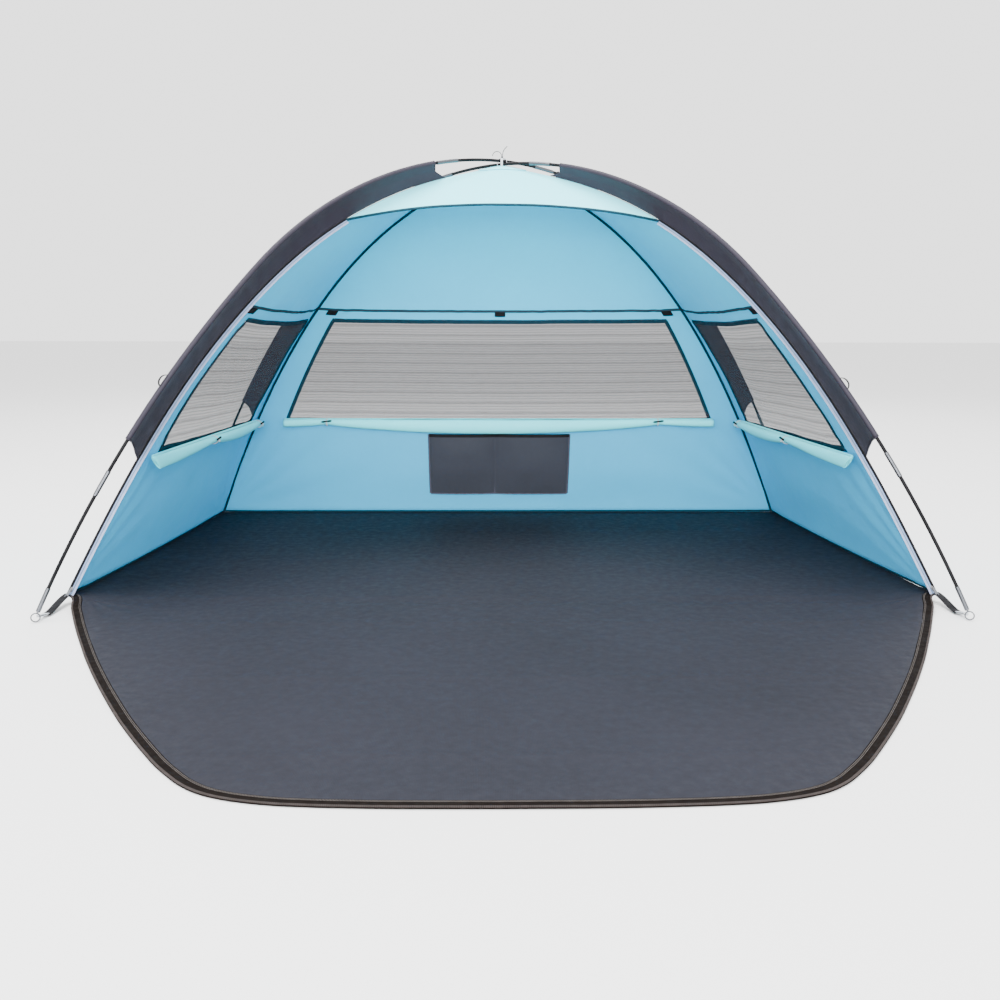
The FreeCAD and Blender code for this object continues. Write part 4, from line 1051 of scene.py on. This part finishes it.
outline = dense_edge(DOOR_EDGE)
way = tangents(outline)
inward = np.stack([way[:, 1], -way[:, 0], np.zeros(len(way))], 1)
if inward[len(inward) // 2, 1] < 0:
    inward = -inward
inset = outline + inward[:, :2] * BINDING_WIDTH / 2
order = np.argsort(inset[:, 0])
edge_x, edge_y = inset[order, 0], inset[order, 1]
half, MID = float(edge_x[-1]) - 0.0005, 0.6
xs = np.concatenate([spaced(-half, -MID, 0.009), spaced(-MID, MID, 0.014)[1:], spaced(MID, half, 0.009)[1:]])
reach = np.maximum(HINGE_Y - np.interp(xs, edge_x, edge_y), 0.001)
vv = np.linspace(0, 1, 92)
X = np.broadcast_to(xs, (len(vv), len(xs)))
Y = HINGE_Y - vv[:, None] * reach[None]
Z = ground_wave(X, Y, 11.3) + 0.0014 * crease(X + 0.05, 0.44) + 0.0011 * crease(Y + 1.08, 0.36)
for side in (-1, 1):
    r = np.hypot(X - side * 1.05, Y - HINGE_Y)
    ang = np.arctan2(HINGE_Y - Y, side * 1.05 - X)
    Z = Z + 0.0022 * (0.5 + 0.5 * np.sin(ang * 16 + side)) * np.exp(-r / 0.28) * smooth(0.0, 0.06, r)
from_edge = np.minimum((1 - vv)[:, None] * reach[None], 0.2)
flatten = smooth(0.0, 0.04, from_edge) * smooth(0.0, 0.03, vv)[:, None]
door = coat(ground_cloth("door_cloth", X, Y, Z * flatten + SHEET_BASE + corner_rise(X, Y), 1e-5), GROUND)

uneven = noise_at([(x * 14, y * 14, 3) for x, y in inset])
rise = 0.0016 + 0.0004 * np.abs(uneven) + corner_rise(inset[:, 0], inset[:, 1])
edge = np.concatenate([inset, rise[:, None]], 1)
hem = sweep("door_edge_binding", edge, inward, UP, band_section(BINDING_WIDTH, 0.0030, 0.6))
finish_piece(hem, (BINDING,), ["door_binding"], "door")
thicken(door, 0.0011, rim=False)
finish_piece(door, (), ["door_panel"], "door")

DOOR_ROWS = (   # name, shift inward, lift, pitch, half size, material
    ("door_zip_teeth", -0.0095, 0.0022, 0.0032, (0.0020, 0.0008, 0.0010), DARK_TEETH),
    ("door_stitches_0", 0.0088, 0.00165, 0.0050, (0.0004, 0.00025, 0.0017), DARK_THREAD),
    ("door_stitches_1", 0.0062, 0.00165, 0.0050, (0.0004, 0.00025, 0.0017), DARK_THREAD),
)
for name, shift, lift, pitch, half, mat in DOOR_ROWS:
    line = edge + inward * shift + UP * lift
    row_of_boxes(name, line, inward, UP, pitch, half, mat, "door")

# ------------------------------------------------------------------ corner straps, links
LINK_RUN = 0.048        # from the end of the webbing to the pole's foot
RING_RUN = 0.0125       # from the far end of the white link to the pole's foot
LINK_OUT, LINK_ROUND = 0.42, 0.16


def link_path(start, away, link_at, ring_at):
    """A tapering doubled tape: out to the ring, round its wire and back, with its width."""
    path, wide = [], []
    for f in np.linspace(0, 1, 34):
        if f < LINK_OUT:
            g = f / LINK_OUT
            run = link_at - 0.006 + (ring_at - link_at + 0.006) * g
            path.append(start + away * run + UP * (0.0052 + 0.0046 * g ** 1.3))
            wide.append(0.0155 - 0.0095 * g ** 0.8)
        elif f < LINK_OUT + LINK_ROUND:
            angle = -math.pi / 2 + math.pi * (f - LINK_OUT) / LINK_ROUND
            centre = start + away * ring_at + UP * 0.0122
            path.append(centre + away * 0.0028 * math.cos(angle) + UP * 0.0026 * math.sin(angle))
            wide.append(0.0060)
        else:
            g = (f - LINK_OUT - LINK_ROUND) / (1 - LINK_OUT - LINK_ROUND)
            run = ring_at - (ring_at - link_at + 0.002) * g
            path.append(start + away * run + UP * (0.0147 - 0.0070 * g))
            wide.append(0.0060 + 0.0095 * g ** 1.2)
    return np.array(path), wide


for key, pole in POLES.items():
    first = key == "fl"
    start = np.array([*CORNER[key], 0.0])
    flat = (pole.at(np.array([pole.half]))[0][0] - start) * (1, 1, 0)
    span = float(np.linalg.norm(flat))
    away = flat / span
    side = np.array([-away[1], away[0], 0.0])
    link_at = span - LINK_RUN
    d = np.linspace(-0.010, link_at, 30)
    rise = CORNER_LIFT if key in FRONT_KEYS else 0.0
    height = 0.0042 + 0.0016 * np.sin(np.linspace(0, math.pi, 30)) + rise * (1 - smooth(-0.012, link_at, d))
    pts = start + away * d[:, None] + UP * height[:, None]
    strap = sweep("corner_strap_" + LONG[key], pts, side, UP, band_section(0.020, 0.0018))
    finish_piece(strap, (BLACK,), ["corner_straps"] if first else [])
    # folded end of the webbing
    d = np.linspace(link_at - 0.024, link_at + 0.001, 10)
    pts = start + away * d[:, None] + UP * 0.0064
    fold = sweep("strap_fold_" + LONG[key], pts, side, UP, band_section(0.0194, 0.0017))
    finish_piece(fold, (BLACK,))
    path, wide = link_path(start, away, link_at, span - RING_RUN)
    sections = [band_section(w, 0.0013) for w in wide]
    tape_link = sweep("strap_link_" + LONG[key], path, side, np.cross(side[None], tangents(path)), sections)
    finish_piece(tape_link, (WHITE,), ["strap_links"] if first else [])


# ------------------------------------------------------------------ zip sliders and pull tabs
def rounded_plate(name, outline, thick, origin, ax, ay, az, bevel=0.0006):
    """A flat piece with rounded edges, from an outline in the ax/ay plane."""
    bm = bmesh.new()
    low = [bm.verts.new(origin + ax * x + ay * y - az * thick / 2) for x, y in outline]
    out = bmesh.ops.extrude_face_region(bm, geom=[bm.faces.new(low)])
    moved = [v for v in out["geom"] if isinstance(v, bmesh.types.BMVert)]
    bmesh.ops.translate(bm, verts=moved, vec=Vector(az * thick))
    bmesh.ops.recalc_face_normals(bm, faces=bm.faces)
    sharp = [e for e in bm.edges if e.calc_face_angle(0) > 0.7]
    bmesh.ops.bevel(bm, geom=sharp, offset=bevel, segments=2, affect="EDGES", profile=0.6)
    me = bpy.data.meshes.new(name)
    bm.to_mesh(me)
    bm.free()
    shade_smooth(me, 40)
    return add_object(name, me)


def ring_plate(name, outer, inner, thick, origin, ax, ay, az):
    """A flat piece with a hole and bevelled edges, from two outlines of the same count."""
    b = min(0.0004, thick * 0.3)
    h = thick / 2
    loops = []
    for base, grow, z in (
        (outer, 0, b - h), (outer, 0, h - b), (outer, -b, h), (inner, b, h),
        (inner, 0, h - b), (inner, 0, b - h), (inner, b, -h), (outer, -b, -h),
    ):
        q = base + unit(base - base.mean(0)) * grow
        loops.append(origin + q[:, :1] * ax + q[:, 1:] * ay + az * z)
    loops.append(loops[0])
    P = np.array(loops)
    count = len(outer)
    faces = [tuple(i % (8 * count) for i in f) for f in grid_faces(9, count, wrap=True)]
    verts = P[:-1].reshape(-1, 3)
    return mesh_object(name, verts, faces, np.zeros((len(verts), 2)), 40)


def capsule_outline(w, h, w2):
    """A rounded slot outline; w2 is the width of its far end."""
    a = np.linspace(0, math.pi, 10)
    top = np.stack([np.cos(a) * w2 / 2, h / 2 - w2 / 2 + np.sin(a) * w2 / 2], 1)
    bottom = np.stack([-np.cos(a) * w / 2, -h / 2 + w / 2 - np.sin(a) * w / 2], 1)
    return np.concatenate([top, bottom])


ZIP_IN, ZIP_BACK, ZIP_RISE = 0.4149, 0.2075, 0.8859     # the zip's direction at the slider
WING_HALF = [(-0.0030, -0.0072), (0.0030, -0.0072), (0.0046, -0.0040), (0.0046, 0.0030)]
WINGS = WING_HALF + [(0.0028, 0.0072), (-0.0028, 0.0072), (-0.0046, 0.0030), (-0.0046, -0.0040)]
DIAMOND = [(-0.0012, 0.0010), (0, -0.0012), (0.0012, 0.0010), (0.0012, 0.0062), (-0.0012, 0.0062)]
TAB_OUTER = capsule_outline(0.0078, 0.0255, 0.0062)
TAB_HOLE = capsule_outline(0.0040, 0.0060, 0.0034) + np.array([0, -0.0075])
joints = {j["name"]: j for j in frame["record"]["behaviour"]["joints"]}
for tag, sx in (("left", -1), ("right", 1)):
    slide = np.array([-sx * ZIP_IN, ZIP_BACK, ZIP_RISE])
    out = unit(AHEAD + slide * ZIP_BACK)
    side = np.cross(slide, out)
    lo, hi = (np.array(v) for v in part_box("zip_slider_" + tag))
    centre = (lo + hi) / 2 - out * 0.0016
    plates = [rounded_plate("plate", WINGS, 0.0012, centre + out * h, side, slide, out)
              for h in (-0.0020, 0.0012)]
    plates.append(rounded_plate("diamond", DIAMOND, 0.0026, centre - out * 0.0004, side, slide, out, 0.0002))
    a = np.linspace(0, math.pi, 14)[:, None]
    arch = centre + out * 0.0016 + slide * (np.cos(a) * 0.0046) + out * (np.sin(a) * 0.0030)
    arch_out = unit(np.cross(side, tangents(arch)))
    plates.append(sweep("bridge", arch, side, arch_out, band_section(0.0020, 0.0010)))
    slider = join("slider_body_" + tag, [coat(o, ZINC) for o in plates])
    finish_piece(slider, (), ["zip_slider_" + tag], "slider_" + tag)
    eye = np.array(joints["pull_%s_hinge" % tag]["pos_m"])
    hang = unit(out * 0.35 - slide * 0.94)
    facing = unit(np.cross(side, hang))
    spot = eye + hang * 0.0128
    tab = ring_plate("pull_tab_" + tag, TAB_OUTER, TAB_HOLE, 0.0015, spot, side, -hang, facing)
    finish_piece(tab, (STEEL,), ["zip_pull_" + tag], "pull_" + tag)

# ------------------------------------------------------------------ rolled window covers
TIED = 0.020            # height of a roll where its loop holds it
LOOSE_END = 0.028
SPIRAL_STEPS = 22       # points in one turn of the roll
TAIL_STEPS = 4          # points from the roll to its seam on the wall
ROLLS = {
    "back": dict(a=-0.76, b=0.76, ties=(-0.608, 0.562), mid=0.054, end=0.029, turns=5.6, stand=0.010),
    "left": dict(a=-0.425, b=0.490, ties=(0.0, 0.455), mid=0.034, end=0.040, turns=6.2, stand=0.0150),
    "right": dict(a=-0.425, b=0.490, ties=(0.0, 0.455), mid=0.035, end=0.038, turns=6.2, stand=0.0150),
}
INWARD = {"back": AHEAD, "left": np.array([1.0, 0, 0]), "right": np.array([-1.0, 0, 0])}


def sill_point(side, lateral):
    """A point of the window sill's line on one wall."""
    k = float(k_at_z(WIN_SILL))
    if side == "back":
        return np.array([lateral, REAR_Y * k, WIN_SILL])
    back_share = (lateral / k - FRONT_Y) / DEPTH
    return np.array([-INWARD[side][0] * k * (FRONT_HALF - TAPER * back_share), lateral, WIN_SILL])


def sill_way(side, x, step=0.01):
    return unit(sill_point(side, x + step) - sill_point(side, x - step))


def roll_height(spec, x):
    """Full between the ties, narrow at them, and open again at the ends."""
    first, second = spec["ties"]
    if first <= x <= second:
        return TIED + (spec["mid"] - TIED) * math.sin(math.pi * (x - first) / (second - first)) ** 0.75
    if x < first:
        return TIED + (spec["end"] - TIED) * math.sin((first - x) / (first - spec["a"]) * math.pi / 2)
    return TIED + (LOOSE_END - TIED) * math.sin((x - second) / (spec["b"] - second) * math.pi / 2)


def ring_round(centre, inward, angle, half_depth, half_height):
    sideways, upward = np.cos(angle) * half_depth, np.sin(angle) * half_height
    return centre + inward * sideways[:, None] + UP * upward[:, None]


for side, spec in ROLLS.items():
    inward, stand = INWARD[side], spec["stand"]
    lat = spaced(spec["a"], spec["b"], 0.009)
    h = np.array([roll_height(spec, x) for x in lat])
    wobble = noise_at([(x * 14, len(side), 2) for x in lat])
    tie = spec["ties"][0]
    flat_end = np.clip((tie - lat) / (tie - spec["a"]), 0, 1) if side != "back" else 0 * lat
    thick = (0.024 + 0.2 * (h - TIED) + 0.0015 * wobble) * (1 - 0.58 * flat_end)
    walls = np.array([sill_point(side, x) for x in lat])
    centres = walls + inward * (stand + thick / 2 - 0.001)[:, None] - UP * (h / 2)[:, None]
    turns = spec["turns"]
    count = int(turns * SPIRAL_STEPS)
    phi = np.linspace(0, turns * 2 * math.pi, count)
    rho = 0.26 + 0.74 * (phi / phi[-1]) ** 0.85
    angle = math.pi / 2 + (phi[-1] - phi)      # the spiral ends at the top, against the sill seam
    P = np.zeros((len(lat), count + TAIL_STEPS, 3))
    for i, x in enumerate(lat):
        fold = 0.05 * noise_at([(x * 9 + q * 0.35, q * 1.1, len(side) * 3.0) for q in phi])
        size = rho * (1 + fold)
        slant = sill_way(side, x) * (-0.024 * flat_end[i] ** 3) * (np.sin(angle) * rho)[:, None]
        centre = centres[i] + UP * 0.001 + slant
        P[i, :count] = ring_round(centre, inward, angle, thick[i] / 2 * size, h[i] / 2 * size)
        last = P[i, count - 1]
        seam = walls[i] + inward * (stand - 0.0058) + UP * 0.0015
        for q in range(TAIL_STEPS):
            f = (q + 1) / TAIL_STEPS
            P[i, count + q] = last * (1 - f) + seam * f + UP * 0.0012 * math.sin(math.pi * f)
    U = np.stack(np.meshgrid(path_length(P[len(lat) // 2]), lat), -1)
    cover = grid_object(side + "_rolled_cover", P, U)
    thicken(cover, 0.0006, 0.0)
    bend = None
    if side != "back":
        way = sill_way(side, 0.0, 0.1)
        into = np.array([way[1], -way[0], 0.0]) * inward[0]
        bend = tuple(tuple(sill_point(side, 0.0) + into * d) for d in (0.0095, 0.0145))
    finish_piece(cover, (ROLL,), [side + "_window_roll"], "roll_" + side, bend)

    # toggles with their elastic loops
    bits = []
    for x in spec["ties"]:
        i = int(np.argmin(np.abs(lat - x)))
        way = sill_way(side, x)
        centre = sill_point(side, x) + inward * (stand + thick[i] / 2 - 0.001) - UP * h[i] / 2
        round_angle = np.linspace(0, 2 * math.pi, 33)
        depth, height = thick[i] / 2 * 1.08 + 0.0012, h[i] / 2 * 1.08 + 0.0012
        for dx in (-0.0016, 0.0016):
            loop = ring_round(centre + way * dx, inward, round_angle, depth, height)
            o = sweep("loop", loop, way, unit(loop - centre - way * dx), round_section(0.0010, 6))
            bits.append(coat(o, ELASTIC))
        spot = centre + inward * (depth + 0.0030) + UP * height * 0.35
        tilt = unit(way + UP * 0.12)
        q = np.linspace(-1, 1, 17)
        radius = 0.0030 * (1 - 0.25 * np.cos(q * math.pi) * 0.5) * np.clip((1 - np.abs(q) ** 8), 0.25, 1)
        sections = [round_section(r, 12) for r in radius]
        bar_side = unit(np.cross(tilt, inward))
        bar = spot + tilt * (q * 0.019)[:, None]
        bits.append(coat(sweep("toggle", bar, bar_side, np.cross(bar_side, tilt), sections), TOGGLE))
        knot_line = spot - UP * np.linspace(0.002, 0.010, 8)[:, None] + inward * 0.0012
        bits.append(coat(tube("knot", knot_line, 0.0016, 8), ELASTIC))
    toggles = join(side + "_cover_toggles", bits)
    finish_piece(toggles, (), [side + "_roll_toggles"], "roll_" + side)

# ------------------------------------------------------------------ hook-and-loop tabs
TAB_K = float(k_at_z(0.73))
TAB_HALF = 0.0175
beside = 0.56 / GORE_WIDTH["back"] / TAB_K
front_share = (-0.285 / TAB_K - FRONT_Y) / DEPTH
tab_spots = [("back", 0.5 - beside), ("back", 0.5), ("back", 0.5 + beside)]
tab_spots += [("left", front_share), ("right", 1 - front_share)]
bits = []
for side, u in tab_spots:
    width = GORE_WIDTH[side] * TAB_K
    half_u = TAB_HALF / width
    top, foot = SEAM_T + 0.0015, SEAM_T + 0.0135
    for lift, grow in ((-0.0034, 1.0), (-0.0052, 0.94)):
        tab_t = np.linspace(top, foot - (1 - grow) * 0.006, 8)
        uu, tt = np.meshgrid(np.linspace(u - half_u * grow, u + half_u * grow, 12), tab_t)
        bow = 0.0008 * np.cos((uu - u) / half_u * 1.4)
        P = gore_point(side, uu, tt) + gore_normal(side, uu, tt) * (lift - bow)[..., None]
        o = grid_object("tab", P, np.stack([(uu - u) * width, tt * ARC], -1))
        thicken(o, 0.0015, 0.0)
        bits.append(coat(o, BLACK))
finish_piece(join("cover_tabs", bits), (), ["hook_and_loop_tabs"])

# ------------------------------------------------------------------ pocket
POCKET_LEFT, POCKET_RIGHT, POCKET_SEAM = -0.25, 0.25, -0.014
POCKET_FOOT, POCKET_TOP = 0.078, 0.305


def back_wall_y(x, z):
    """The inner face of the back wall's cloth."""
    t = t_at_z(z)
    u = 0.5 + x / (GORE_WIDTH["back"] * ridge(t)[0])
    return gore_point("back", u, t)[..., 1] - 0.0012


def pocket_front(x, f):
    """The pocket's cloth at x, f from 0 at its foot to 1 at its mouth; each compartment bellies."""
    z = POCKET_FOOT + (POCKET_TOP - POCKET_FOOT) * f
    left_part = (x - POCKET_LEFT) / (POCKET_SEAM - POCKET_LEFT)
    right_part = (x - POCKET_SEAM) / (POCKET_RIGHT - POCKET_SEAM)
    part = np.where(x < POCKET_SEAM, left_part, right_part)
    belly = np.clip(np.sin(np.pi * np.clip(part, 0, 1)), 0, 1) ** 0.6
    depth = 0.0015 + belly * (0.004 + 0.016 * np.sin(np.pi * (0.08 + 0.62 * f)))
    P = np.stack([x, back_wall_y(x, z) - depth, z], -1)
    gathers = 0.0008 * np.sin(part * 50) * np.exp(-f / 0.12)
    P[..., 1] += 0.002 * noise_field(P, 14.0, 2.2) * belly - gathers * belly
    return P


pocket_x = np.linspace(POCKET_LEFT, POCKET_RIGHT, 101)
xx, ff = np.meshgrid(pocket_x, np.linspace(0, 1, 40))
pocket = grid_object("pocket_front", pocket_front(xx, ff), np.stack([xx, ff * 0.23], -1))
thicken(pocket, 0.0008, 0.0)
finish_piece(pocket, (POCKET,), ["back_pocket"])


def pocket_tape(x, f, shift, across, width, thick, mat):
    line = pocket_front(x, f) + np.array([0, -0.0006, shift])
    return coat(sweep("tape", line, across, AHEAD, band_section(width, thick)), mat)


edges = [pocket_tape(pocket_x, np.ones(101), -0.004, UP, 0.011, 0.0022, BLACK)]
for x, width in ((POCKET_LEFT, 0.009), (POCKET_SEAM, 0.006), (POCKET_RIGHT, 0.009)):
    upright = np.full(30, x), np.linspace(0, 1, 30)
    edges.append(pocket_tape(*upright, 0, (1.0, 0, 0), width, 0.0016, POCKET_EDGE))
edges.append(pocket_tape(pocket_x, np.zeros(101), 0.002, UP, 0.009, 0.0016, POCKET_EDGE))
finish_piece(join("pocket_binding", edges))

# ------------------------------------------------------------------ crown tie
middle, half_height = (band_lo[2] + band_hi[2]) / 2, (band_hi[2] - band_lo[2]) / 2
a = np.linspace(0, 2 * math.pi, 41)
wide, high = (np.sign(f) * np.abs(f) ** 0.7 for f in (np.cos(a), np.sin(a)))
loop = np.stack([0.0135 * wide, np.zeros_like(a), middle + half_height * high], 1)
outward = unit(loop - UP * middle)
band = sweep("tie_band", loop, (0, 1.0, 0), outward, band_section(0.014, 0.0011), caps=False)
finish_piece(band, (WHITE,), ["crown_tie_band"])
TURN_X = -0.001
turn = np.stack([np.zeros_like(a) + TURN_X, 0.0095 * wide, middle + (half_height + 0.0008) * high], 1)
outward = unit(turn - np.array([TURN_X, 0, middle]))
turn_band = sweep("tie_band_turn", turn, (1.0, 0, 0), outward, band_section(0.0065, 0.0012), caps=False)
finish_piece(turn_band, (WHITE,))
q = np.linspace(0, 4 * math.pi, 49)
knot_line = np.stack([0.0022 * np.cos(q), 0.0020 * np.sin(q), KNOT_Z - 0.0012 + 0.0006 * q / math.pi], 1)
finish_piece(tube("tie_knot", knot_line, 0.0010, 8), (CORD,))

# ------------------------------------------------------------------ stage and light
STAGE_HALF = 30.0
stage_corners = [(x * STAGE_HALF, y * STAGE_HALF, 0) for x, y in ((-1, -1), (1, -1), (1, 1), (-1, 1))]
stage_mesh = bpy.data.meshes.new("ground")
stage_mesh.from_pydata(stage_corners, [], [(0, 1, 2, 3)])
ground = add_object("ground", stage_mesh)
ground.location.z = -0.0006
coat(ground, Surface("pale_floor").finish((0.78, 0.78, 0.78), 0.9))
ground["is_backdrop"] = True

world = bpy.data.worlds.new("studio")
bpy.context.scene.world = world
world.use_nodes = True
background = world.node_tree.nodes["Background"]
background.inputs[0].default_value = (1, 1, 1, 1)
background.inputs[1].default_value = 2.4


def area_light(name, where, aim, size, power):
    data = bpy.data.lights.new(name, "AREA")
    data.shape = "RECTANGLE"
    data.size, data.size_y = size
    data.energy = power
    o = add_object(name, data)
    o.location = where
    o.rotation_euler = (Vector(aim) - Vector(where)).to_track_quat("-Z", "Y").to_euler()


area_light("key", (-0.7, -1.0, 5.4), (0, 0, 0.4), (3.2, 3.0), 620)
area_light("fill", (-0.4, -5.6, 2.0), (0, 0, 0.7), (4.5, 2.6), 560)
area_light("back", (0.5, 4.5, 4.0), (0, 0, 0.5), (4.0, 3.0), 180)

lo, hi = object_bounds()
